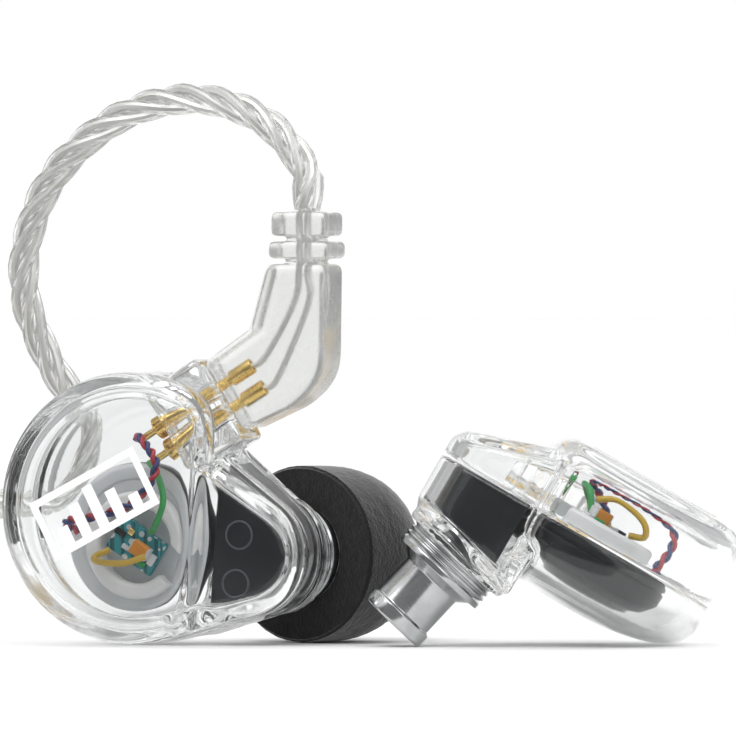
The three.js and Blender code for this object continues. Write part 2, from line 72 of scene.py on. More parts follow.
# ---------------------------------------------------------------- modelling by hand
def deselect() -> None:
    """Leave every object unselected."""
    bpy.ops.object.select_all(action="DESELECT")
    bpy.context.view_layer.objects.active = None


def pick(obj: bpy.types.Object) -> None:
    """Select one object alone and make it active."""
    deselect()
    obj.select_set(True)
    bpy.context.view_layer.objects.active = obj


def apply_modifier(obj: bpy.types.Object, kind: str, **settings: object) -> None:
    """Add one modifier and apply it.

    Args:
        obj: The object to change.
        kind: The modifier's type.
        settings: Values for its properties.
    """
    pick(obj)
    bpy.ops.object.modifier_add(type=kind)
    modifier = obj.modifiers[-1]
    for key, value in settings.items():
        setattr(modifier, key, value)
    bpy.ops.object.modifier_apply(modifier=modifier.name)


def face_outwards(obj: bpy.types.Object) -> None:
    """Merge doubles and turn every face of a closed shape outwards."""
    pick(obj)
    bpy.ops.object.mode_set(mode="EDIT")
    bpy.ops.mesh.select_all(action="SELECT")
    bpy.ops.mesh.remove_doubles(threshold=1e-4)
    bpy.ops.mesh.normals_make_consistent(inside=False)
    bpy.ops.object.mode_set(mode="OBJECT")


def smooth(obj: bpy.types.Object, angle: float = 35) -> bpy.types.Object:
    """Shade smooth up to an angle in degrees."""
    pick(obj)
    bpy.ops.object.shade_smooth_by_angle(angle=radians(angle))
    return obj


def loft(name: str, rings: Sequence[Sequence[Point]], closed: bool = False) -> bpy.types.Object:
    """Skin a solid through rings of equal length by extruding the first ring again and again.

    Args:
        name: The new object's name.
        rings: Rings of points in order.
        closed: Whether the last ring joins the first instead of both being capped.

    Returns:
        The new object, with each point's distance along its rings in the "axial" attribute.
    """
    deselect()
    count = len(rings[0])
    bpy.ops.mesh.primitive_circle_add(vertices=count, radius=1, fill_type="NOTHING")
    obj = bpy.context.object
    obj.name = name
    bpy.ops.object.mode_set(mode="EDIT")
    bpy.ops.mesh.select_mode(type="VERT")
    mesh = bmesh.from_edit_mesh(obj.data)
    station = mesh.verts.layers.int.new("station")
    axial = mesh.verts.layers.float.new("axial")
    mesh.verts.ensure_lookup_table()
    for i, vert in enumerate(mesh.verts):
        vert[station] = i
        vert.co = rings[0][i]
    travelled = 0.0
    for before, ring in zip(rings, rings[1:]):
        travelled += (Vector(ring[0]) - Vector(before[0])).length
        bpy.ops.mesh.extrude_region_move()
        mesh = bmesh.from_edit_mesh(obj.data)
        station = mesh.verts.layers.int["station"]
        axial = mesh.verts.layers.float["axial"]
        for vert in mesh.verts:
            if vert.select:
                vert.co = ring[vert[station]]
                vert[axial] = travelled
    if not closed:
        bpy.ops.mesh.edge_face_add()
        bpy.ops.mesh.select_all(action="DESELECT")
        mesh = bmesh.from_edit_mesh(obj.data)
        mesh.verts.ensure_lookup_table()
        for vert in mesh.verts[:count]:
            vert.select = True
        mesh.select_flush(True)
        bpy.ops.mesh.edge_face_add()
    bmesh.update_edit_mesh(obj.data)
    bpy.ops.object.mode_set(mode="OBJECT")
    face_outwards(obj)
    return obj


def softened(profile: Sequence[Point], radius: float, closed: bool = False) -> list[tuple[float, float]]:
    """Round the corners of a flat profile.

    Args:
        profile: Corner points.
        radius: How far from each corner the rounding starts, at most.
        closed: Whether the profile joins itself.

    Returns:
        The profile with each corner replaced by a short arc.
    """
    count = len(profile)
    out: list[tuple[float, float]] = []
    for i, corner in enumerate(profile):
        if not closed and i in (0, count - 1):
            out.append(tuple(corner))
            continue
        here = Vector(corner)
        back = Vector(profile[i - 1]) - here
        ahead = Vector(profile[(i + 1) % count]) - here
        reach = min(radius, 0.42 * back.length, 0.42 * ahead.length)
        start, end = here + back.normalized() * reach, here + ahead.normalized() * reach
        for t in (0, 1 / 3, 2 / 3, 1):
            out.append(tuple(start * (1 - t) ** 2 + here * (2 * t * (1 - t)) + end * t**2))
    return out


def turned(
    name: str,
    profile: Sequence[Point],
    sides: int = 64,
    closed: bool = False,
    knurl: Callable[[float], float] | None = None,
) -> bpy.types.Object:
    """Turn a solid about the z axis.

    Args:
        name: The new object's name.
        profile: Radius and height of each point.
        sides: Points round the axis.
        closed: Whether the profile is a loop that clears the axis.
        knurl: Depth of straight knurling as a function of height, or none.

    Returns:
        The new object.
    """
    points = list(profile) + ([profile[0]] if closed else [])
    rings = []
    for r, h in points:
        ring = []
        for i in range(sides):
            angle = 2 * pi * i / sides
            reach = max(r, 0.004)
            if knurl:
                reach -= knurl(h) * (i // 2 % 2)
            ring.append(Vector((reach * cos(angle), reach * sin(angle), h)))
        rings.append(ring)
    return smooth(loft(name, rings, closed))


def rounded_box(name: str, size: Point, centre: Point, radius: float, turn: float = 0) -> bpy.types.Object:
    """Make a box with rounded edges.

    Args:
        name: The new object's name.
        size: Its three sides.
        centre: Its middle.
        radius: The edge radius.
        turn: Its turn about z in degrees.

    Returns:
        The new object.
    """
    deselect()
    bpy.ops.mesh.primitive_cube_add(size=1)
    obj = bpy.context.object
    obj.name = name
    obj.data.transform(Matrix.Diagonal((*size, 1)))
    apply_modifier(obj, "BEVEL", width=radius, segments=3, limit_method="NONE")
    obj.data.transform(Matrix.Translation(centre) @ Matrix.Rotation(radians(turn), 4, "Z"))
    return smooth(obj)


def combine(obj: bpy.types.Object, tool: bpy.types.Object, operation: str = "DIFFERENCE") -> None:
    """Cut a tool out of an object, or fuse it on, and throw the tool away."""
    apply_modifier(obj, "BOOLEAN", object=tool, operation=operation, solver="EXACT")
    bpy.data.objects.remove(tool)


def melt(obj: bpy.types.Object, grain: float, passes: int) -> bpy.types.Object:
    """Even out a solid so that its edges run into each other as they do in cast plastic.

    Args:
        obj: The solid.
        grain: The size of the new faces in mm.
        passes: How often each point moves towards its neighbours.

    Returns:
        The same object.
    """
    apply_modifier(obj, "REMESH", mode="VOXEL", voxel_size=grain)
    bpy.ops.object.mode_set(mode="EDIT")
    bpy.ops.mesh.select_all(action="SELECT")
    bpy.ops.mesh.vertices_smooth(factor=0.5, repeat=passes)
    bpy.ops.object.mode_set(mode="OBJECT")
    bpy.ops.object.shade_smooth()
    return obj


def joined(objects: list[bpy.types.Object], name: str) -> bpy.types.Object:
    """Join objects into the first one under a new name."""
    pick(objects[0])
    for obj in objects:
        obj.select_set(True)
    bpy.ops.object.join()
    objects[0].name = name
    return objects[0]


# ---------------------------------------------------------------- lines in space
def smooth_path(points: Sequence[Point], spacing: float) -> list[Vector]:
    """Run a smooth curve through points and walk along it in even steps.

    Args:
        points: Points that the curve goes through.
        spacing: The step along the curve.

    Returns:
        Evenly spaced points.
    """
    knots = [Vector(p) for p in points]
    knots = [2 * knots[0] - knots[1], *knots, 2 * knots[-1] - knots[-2]]
    dense: list[Vector] = []
    for a, b, c, d in zip(knots, knots[1:], knots[2:], knots[3:]):
        steps = max(4, int((c - b).length / (0.2 * spacing)))
        for i in range(steps):
            t = i / steps
            dense.append(
                0.5 * (2 * b + (c - a) * t + (2 * a - 5 * b + 4 * c - d) * t**2
                       + (3 * b - a - 3 * c + d) * t**3)
            )
    dense.append(knots[-2])
    total = sum((q - p).length for p, q in zip(dense, dense[1:]))
    count = max(2, round(total / spacing))
    step = total / count
    out, walked, goal = [dense[0]], 0.0, step
    for p, q in zip(dense, dense[1:]):
        length = (q - p).length
        while goal <= walked + length + 1e-9 and len(out) < count:
            out.append(p.lerp(q, (goal - walked) / max(length, 1e-9)))
            goal += step
        walked += length
    return [*out, dense[-1]]


def path_length(points: Sequence[Vector]) -> float:
    """Add up the length of a line of points."""
    return sum((q - p).length for p, q in zip(points, points[1:]))


def normals_along(points: Sequence[Vector]) -> list[Vector]:
    """Carry one normal along a line of points without twist."""
    tangent = (points[1] - points[0]).normalized()
    normal = tangent.orthogonal().normalized()
    out = []
    for i in range(len(points)):
        ahead = points[min(i + 1, len(points) - 1)] - points[max(i - 1, 0)]
        tangent = ahead.normalized()
        normal = (normal - tangent * normal.dot(tangent)).normalized()
        out.append(normal)
    return out


def wound(
    points: Sequence[Vector],
    offset: Callable[[float], float],
    lay: float,
    phase: float,
) -> list[Vector]:
    """Wind a line round another one.

    Args:
        points: The middle line.
        offset: The distance from it, as a function of the length walked.
        lay: The length of one full turn.
        phase: The turn at the start, in radians.

    Returns:
        The wound line.
    """
    out, walked = [], 0.0
    for i, (point, normal) in enumerate(zip(points, normals_along(points))):
        if i:
            walked += (point - points[i - 1]).length
        tangent = (points[min(i + 1, len(points) - 1)] - points[max(i - 1, 0)]).normalized()
        angle = phase + 2 * pi * walked / lay
        side = normal * cos(angle) + tangent.cross(normal) * sin(angle)
        out.append(point + side * offset(walked))
    return out


def strands(
    name: str,
    lines: Sequence[Sequence[Vector]],
    radius: float,
    scale: Callable[[int], float] = lambda i: 1.0,
    roundness: int = 2,
) -> bpy.types.Object:
    """Make round strands along lines as one mesh.

    Args:
        name: The new object's name.
        lines: The middle line of each strand.
        radius: Strand radius.
        scale: Factor on the radius at point i.
        roundness: Bevel resolution of the round section.

    Returns:
        The new object.
    """
    curve = bpy.data.curves.new(name, "CURVE")
    curve.dimensions = "3D"
    curve.bevel_depth = radius
    curve.bevel_resolution = roundness
    curve.use_fill_caps = True
    for line in lines:
        spline = curve.splines.new("POLY")
        spline.points.add(len(line) - 1)
        for i, point in enumerate(line):
            spline.points[i].co = (*point, 1)
            spline.points[i].radius = scale(i)
    obj = bpy.data.objects.new(name, curve)
    bpy.context.scene.collection.objects.link(obj)
    pick(obj)
    bpy.ops.object.convert(target="MESH")
    face_outwards(obj)
    return smooth(obj, 50)


# ---------------------------------------------------------------- finishes
def to_linear(colour: str) -> tuple[float, float, float, float]:
    """Turn an sRGB hex colour into linear RGBA."""
    parts = [int(colour[i : i + 2], 16) / 255 for i in (1, 3, 5)]
    return (*[c / 12.92 if c <= 0.04045 else ((c + 0.055) / 1.055) ** 2.4 for c in parts], 1.0)


def add_node(
    material: bpy.types.Material,
    kind: str,
    settings: dict[str, object] | None = None,
    inputs: dict[str | int, object] | None = None,
) -> bpy.types.Node:
    """Add one shader node with its settings and links.

    Args:
        material: The material.
        kind: The node's type.
        settings: Values for its properties.
        inputs: For each socket a value, or the output socket that feeds it.

    Returns:
        The new node.
    """
    made = material.node_tree.nodes.new(kind)
    for key, value in (settings or {}).items():
        setattr(made, key, value)
    for key, value in (inputs or {}).items():
        if isinstance(value, bpy.types.NodeSocket):
            material.node_tree.links.new(value, made.inputs[key])
        else:
            made.inputs[key].default_value = value
    return made


def set_stops(node: bpy.types.Node, stops: Sequence[tuple[float, str]]) -> bpy.types.Node:
    """Give a colour ramp its stops as positions and hex colours."""
    ramp = node.color_ramp
    while len(ramp.elements) < len(stops):
        ramp.elements.new(0.5)
    for element, (position, colour) in zip(ramp.elements, stops):
        element.position = position
        element.color = to_linear(colour)
    return node


@dataclass(frozen=True)
class Finish:
    """What every finish has: a name, a colour and how rough it is."""

    name: str
    colour: str
    roughness: float

    def shader(self, **values: object) -> tuple[bpy.types.Material, bpy.types.Node]:
        """Start a material.

        Args:
            values: Shader sockets to set, with underscores for spaces.

        Returns:
            The material and its Principled node.
        """
        material = bpy.data.materials.new(self.name)
        material.use_nodes = True
        principled = material.node_tree.nodes["Principled BSDF"]
        principled.inputs["Base Color"].default_value = to_linear(self.colour)
        principled.inputs["Roughness"].default_value = self.roughness
        for key, value in values.items():
            principled.inputs[key.replace("_", " ")].default_value = value
        return material, principled

    def millimetres(self, material: bpy.types.Material) -> bpy.types.NodeSocket:
        """Give object coordinates in millimetres."""
        coords = add_node(material, "ShaderNodeTexCoord")
        scale = (1 / MM, 1 / MM, 1 / MM)
        return add_node(
            material, "ShaderNodeMapping", inputs={"Vector": coords.outputs["Object"], "Scale": scale}
        ).outputs[0]

    def relief(
        self,
        material: bpy.types.Material,
        principled: bpy.types.Node,
        height: bpy.types.NodeSocket,
        depth: float,
    ) -> None:
        """Turn a height between 0 and 1 into bump of a depth in mm."""
        bump = add_node(
            material, "ShaderNodeBump", inputs={"Height": height, "Distance": depth * MM, "Strength": 1.0}
        )
        material.node_tree.links.new(bump.outputs[0], principled.inputs["Normal"])


@dataclass(frozen=True)
class ClearPlastic(Finish):
    """Clear plastic from a polished mould: faint flow waves bend what lies behind it."""

    ior: float = 1.49
    wave: float = 3.0
    depth: float = 0.004

    def build(self) -> bpy.types.Material:
        """Make the material."""
        material, principled = self.shader(Transmission_Weight=1.0, IOR=self.ior)
        where = self.millimetres(material)
        flow = add_node(
            material, "ShaderNodeTexNoise", inputs={"Vector": where, "Scale": 1 / self.wave, "Detail": 2.0}
        )
        haze = add_node(
            material,
            "ShaderNodeMapRange",
            inputs={"Value": flow.outputs[0], "To Min": self.roughness * 0.6, "To Max": self.roughness * 1.5},
        )
        material.node_tree.links.new(haze.outputs[0], principled.inputs["Roughness"])
        self.relief(material, principled, flow.outputs[0], self.depth)
        return material


@dataclass(frozen=True)
class Opaque(Finish):
    """Moulded plastic, ink, rubber or enamel: an even colour with a fine grain and slight mottling."""

    ior: float = 1.5
    grain: float = 0.25
    depth: float = 0.006
    mottle: float = 0.12
    translucence: float = 0.0
    sheen: float = 0.0

    def build(self) -> bpy.types.Material:
        """Make the material."""
        material, principled = self.shader(
            IOR=self.ior, Transmission_Weight=self.translucence, Sheen_Weight=self.sheen
        )
        where = self.millimetres(material)
        fine = add_node(
            material, "ShaderNodeTexNoise", inputs={"Vector": where, "Scale": 1 / self.grain, "Detail": 3.0}
        )
        broad = add_node(
            material, "ShaderNodeTexNoise", inputs={"Vector": where, "Scale": 0.4, "Detail": 2.0}
        )
        tone = add_node(
            material,
            "ShaderNodeMapRange",
            inputs={"Value": broad.outputs[0], "To Min": 1 - self.mottle, "To Max": 1 + self.mottle},
        )
        colour = add_node(
            material,
            "ShaderNodeHueSaturation",
            inputs={"Value": tone.outputs[0], "Color": to_linear(self.colour)},
        )
        rough = add_node(
            material,
            "ShaderNodeMapRange",
            inputs={
                "Value": fine.outputs[0],
                "To Min": self.roughness * 0.8,
                "To Max": min(1.0, self.roughness * 1.2),
            },
        )
        material.node_tree.links.new(colour.outputs[0], principled.inputs["Base Color"])
        material.node_tree.links.new(rough.outputs[0], principled.inputs["Roughness"])
        if self.depth:
            self.relief(material, principled, fine.outputs[0], self.depth)
        return material


@dataclass(frozen=True)
class Metal(Finish):
    """Turned or plated metal: fine rings left by the tool run round each piece."""

    pitch: float = 0.12
    depth: float = 0.0012
    stain: str = "#9B9C9E"

    def build(self) -> bpy.types.Material:
        """Make the material."""
        material, principled = self.shader(Metallic=1.0)
        along = add_node(
            material,
            "ShaderNodeAttribute",
            settings={"attribute_name": "axial", "attribute_type": "GEOMETRY"},
        )
        lines = add_node(
            material,
            "ShaderNodeTexNoise",
            settings={"noise_dimensions": "1D"},
            inputs={"W": along.outputs["Fac"], "Scale": 1 / self.pitch, "Detail": 3.0},
        )
        cloud = add_node(
            material,
            "ShaderNodeTexNoise",
            inputs={"Vector": self.millimetres(material), "Scale": 0.5, "Detail": 3.0},
        )
        colour = add_node(
            material,
            "ShaderNodeMix",
            settings={"data_type": "RGBA"},
            inputs={0: cloud.outputs[0], 6: to_linear(self.colour), 7: to_linear(self.stain)},
        )
        rough = add_node(
            material,
            "ShaderNodeMapRange",
            inputs={
                "Value": lines.outputs[0],
                "To Min": self.roughness * 0.7,
                "To Max": self.roughness * 1.4,
            },
        )
        material.node_tree.links.new(colour.outputs[2], principled.inputs["Base Color"])
        material.node_tree.links.new(rough.outputs[0], principled.inputs["Roughness"])
        self.relief(material, principled, lines.outputs[0], self.depth)
        return material


@dataclass(frozen=True)
class Foam(Finish):
    """Open-cell memory foam: torn cells a fifth of a millimetre across, drawn at that size, with painted
    shade darkening the low cell hollows.
    """

    cell: float = 0.22

    def build(self) -> bpy.types.Material:
        """Make the material."""
        material, principled = self.shader(IOR=1.4, Sheen_Weight=0.6, Sheen_Roughness=0.45)
        where = self.millimetres(material)
        cells = add_node(
            material, "ShaderNodeTexVoronoi", inputs={"Vector": where, "Scale": 1 / self.cell}
        )
        cloud = add_node(
            material, "ShaderNodeTexNoise", inputs={"Vector": where, "Scale": 1.6, "Detail": 5.0}
        )
        height = add_node(
            material,
            "ShaderNodeMath",
            settings={"operation": "MULTIPLY_ADD"},
            inputs={0: cells.outputs["Distance"], 1: 0.6, 2: cloud.outputs[0]},
        )
        # Painted shade: the ramp turns the cells near black where the bump height is low, so the hollows look
        # shaded.
        tone = set_stops(
            add_node(material, "ShaderNodeValToRGB", inputs={"Fac": height.outputs[0]}),
            [(0.35, "#0C0C0D"), (0.95, self.colour)],
        )
        material.node_tree.links.new(tone.outputs[0], principled.inputs["Base Color"])
        self.relief(material, principled, height.outputs[0], 0.05)
        return material


@dataclass(frozen=True)
class SolderMask(Finish):
    """A printed board: teal solder mask with copper traces under it and tinned pads."""

    pad: str = "#D9DCDD"

    def build(self) -> bpy.types.Material:
        """Make the material."""
        material, principled = self.shader(IOR=1.5)
        where = self.millimetres(material)
        traces = add_node(
            material,
            "ShaderNodeTexBrick",
            settings={"offset": 0.5},
            inputs={
                "Vector": where,
                "Color1": to_linear(self.colour),
                "Color2": to_linear("#2E9AA0"),
                "Mortar": to_linear("#12555C"),
                "Scale": 1.0,
                "Mortar Size": 0.05,
                "Brick Width": 0.9,
                "Row Height": 0.35,
            },
        )
        spots = add_node(
            material, "ShaderNodeTexVoronoi", inputs={"Vector": where, "Scale": 1.3}
        )
        pads = add_node(
            material,
            "ShaderNodeMath",
            settings={"operation": "LESS_THAN"},
            inputs={0: spots.outputs["Distance"], 1: 0.32},
        )
        colour = add_node(
            material,
            "ShaderNodeMix",
            settings={"data_type": "RGBA"},
            inputs={0: pads.outputs[0], 6: traces.outputs[0], 7: to_linear(self.pad)},
        )
        material.node_tree.links.new(colour.outputs[2], principled.inputs["Base Color"])
        material.node_tree.links.new(pads.outputs[0], principled.inputs["Metallic"])
        self.relief(material, principled, traces.outputs["Fac"], 0.02)
        return material


class Look(Enum):
    """Every finish of the pair, by the record's slot where it has one."""

    # Cast acrylic shell, polished: sharp highlights, a very light haze.
    SHELL = ClearPlastic("clear_acrylic", "#FBFCFC", 0.045)
    # Soft clear PVC over-moulding: hazier, with broader waves.
    PLUG = ClearPlastic("clear_pvc_moulding", "#E9EAE8", 0.24, ior=1.46, wave=2.0, depth=0.012)
    # Clear PVC wire jacket, extruded: faint milky haze.
    JACKET = ClearPlastic("clear_wire_jacket", "#F8F8F7", 0.22, ior=1.4, wave=1.2, depth=0.01)
    # Silver-plated litz inside the jackets.
    LITZ = Metal("silver_litz", "#FDFDFC", 0.5, pitch=0.3, depth=0.015, stain="#ECECE9")
    # Frosted polycarbonate clip: soft, lets some light in.
    FROSTED = Opaque("frosted_polycarbonate", "#FFFFFF", 0.4, grain=0.2, translucence=0.35)
    # Moulded ABS of the drivers: near black with a satin shine.
    ABS = Opaque("black_abs", "#0C1015", 0.3, ior=1.38, grain=0.8, depth=0)
    # Ejector rings left in that moulding: a shade lighter than it.
    MARK = Opaque("ejector_mark", "#4C545A", 0.4, depth=0)
    # Enamelled driver plate: even pale grey.
    PLATE = Opaque("grey_enamelled_plate", "#CDD0D2", 0.42, grain=0.15)
    # Stainless steel, turned and left bright: sharp bands with fine rings.
    STEEL = Metal("turned_steel", "#E2E4E4", 0.16)
    # Woven steel wire: darker, as little light reaches it.
    MESH = Metal("woven_steel_mesh", "#8F9295", 0.4)
    # Gold plate over brass: warm, slightly soft reflections.
    GOLD = Metal("gold_plate", "#F9DE9C", 0.24, pitch=0.2, stain="#EBC26A")
    # Pad-printed ink: flat, even white.
    INK = Opaque("white_pad_print", "#FBFBFA", 0.5, grain=0.1, depth=0.003, mottle=0.03)
    # Open-cell polyurethane foam: charcoal with painted shade in its cell hollows and a dusty bloom at
    # grazing angles.
    FOAM = Foam("memory_foam", "#1B1B1C", 0.95)
    # Moulded silicone rubber: dull black.
    SILICONE = Opaque("black_silicone", "#232427", 0.5, grain=0.1, depth=0.004, sheen=0.1)
    # Solder mask on the board: glossy teal over copper.
    BOARD = SolderMask("solder_mask", "#1F7F86", 0.4)
    # Cast resin of the capacitor: plain orange.
    RESIN = Opaque("orange_cast_resin", "#D58A2A", 0.4, grain=0.1)
    # Tinned end caps: pale grey solder.
    TIN = Opaque("tinned_end_cap", "#C9CBCC", 0.3, grain=0.1)
    # Enamelled winding wire in four colours: glossy, even colour.
    RED = Opaque("red_enamel", "#B3303C", 0.35, grain=0.3)
    BLUE = Opaque("blue_enamel", "#2A3874", 0.35, grain=0.3)
    GREEN = Opaque("green_enamel", "#2F9C4D", 0.35, grain=0.3)
    YELLOW = Opaque("yellow_enamel", "#C9A63A", 0.35, grain=0.3)
    # Seamless paper under the set: flat white.
    PAPER = Opaque("studio_paper", "#FFFFFF", 0.9, grain=0.4, depth=0.004, mottle=0.0)

    def material(self) -> bpy.types.Material:
        """Give this finish's material, made once."""
        return bpy.data.materials.get(self.value.name) or self.value.build()


CLEAR_LOOKS = (Look.SHELL, Look.PLUG, Look.JACKET)


def dress(obj: bpy.types.Object, *looks: Look) -> bpy.types.Object:
    """Give an object its finishes in slot order."""
    obj.data.materials.clear()
    for look in looks:
        obj.data.materials.append(look.material())
    return obj


def paint_faces(obj: bpy.types.Object, index: int, test: Callable[[Vector, Vector], bool]) -> None:
    """Give the faces whose centre and normal pass a test another material slot."""
    for face in obj.data.polygons:
        if test(face.center, face.normal):
            face.material_index = index


# ---------------------------------------------------------------- places
def pose_matrix(x: Point, y: Point, z: Point, place: Point) -> Matrix:
    """Build the matrix from a piece's own millimetres to the frame's metres."""
    turn = Matrix((x, y, z)).transposed().to_4x4()
    return Matrix.Scale(MM, 4) @ Matrix.Translation(Vector(place) + CENTRE) @ turn


@dataclass(frozen=True)
class Stand:
    """How the two earpieces stand."""

    left_yaw: float = radians(22)
    left_roll: float = radians(4.4)
    left_place: Point = (-16.5, 0, 10.47)
    right_pitch: float = radians(30)
    right_place: Point = (17.0, 0, 8.1)

    def left(self, roll: bool = True) -> Matrix:
        """Place the left earpiece, or its plug, which does not roll."""
        up = Vector((0, 0, 1))
        level = Vector((cos(self.left_yaw), -sin(self.left_yaw), 0))
        facing = Vector((-sin(self.left_yaw), -cos(self.left_yaw), 0))
        r = self.left_roll if roll else 0
        return pose_matrix(
            level * cos(r) - up * sin(r), level * sin(r) + up * cos(r), facing, self.left_place
        )

    def right(self) -> Matrix:
        """Place the right earpiece, the mirror image of the left one."""
        c, s = cos(self.right_pitch), sin(self.right_pitch)
        return pose_matrix((-c, 0, s), (0, 1, 0), (s, 0, c), self.right_place)


STAND = Stand()


def install(
    master: bpy.types.Object,
    name: str,
    pose: Matrix,
    body: Body,
    slot: str,
    nodes: Sequence[str] = (),
) -> bpy.types.Object:
    """Set a copy of a master piece in its place on its body.

    Args:
        master: The piece in its own millimetres.
        name: The copy's name.
        pose: Where it goes.
        body: The body it rides on.
        slot: The record's material slot; not used.
        nodes: The CAD nodes it stands for.

    Returns:
        The copy.
    """
    obj = bpy.data.objects.new(name, master.data.copy())
    obj.data.name = name
    bpy.context.scene.collection.objects.link(obj)
    obj.data.transform(pose)
    if pose.determinant() < 0:
        obj.data.flip_normals()
    obj.data.update()
    if "station" in obj.data.attributes:
        obj.data.attributes.remove(obj.data.attributes["station"])
    clear = {look.material().name for look in CLEAR_LOOKS}
    if obj.data.materials and obj.data.materials[0].name in clear:
        obj.visible_shadow = False
    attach(obj, body.value)
    if nodes:
        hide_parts(*nodes)
    LOG.info("%s: %d faces on %s", name, len(obj.data.polygons), body.value)
    return obj


@dataclass
class Part:
    """One master piece and what its copies are called."""

    master: bpy.types.Object
    name: str
    slot: str
    node: str


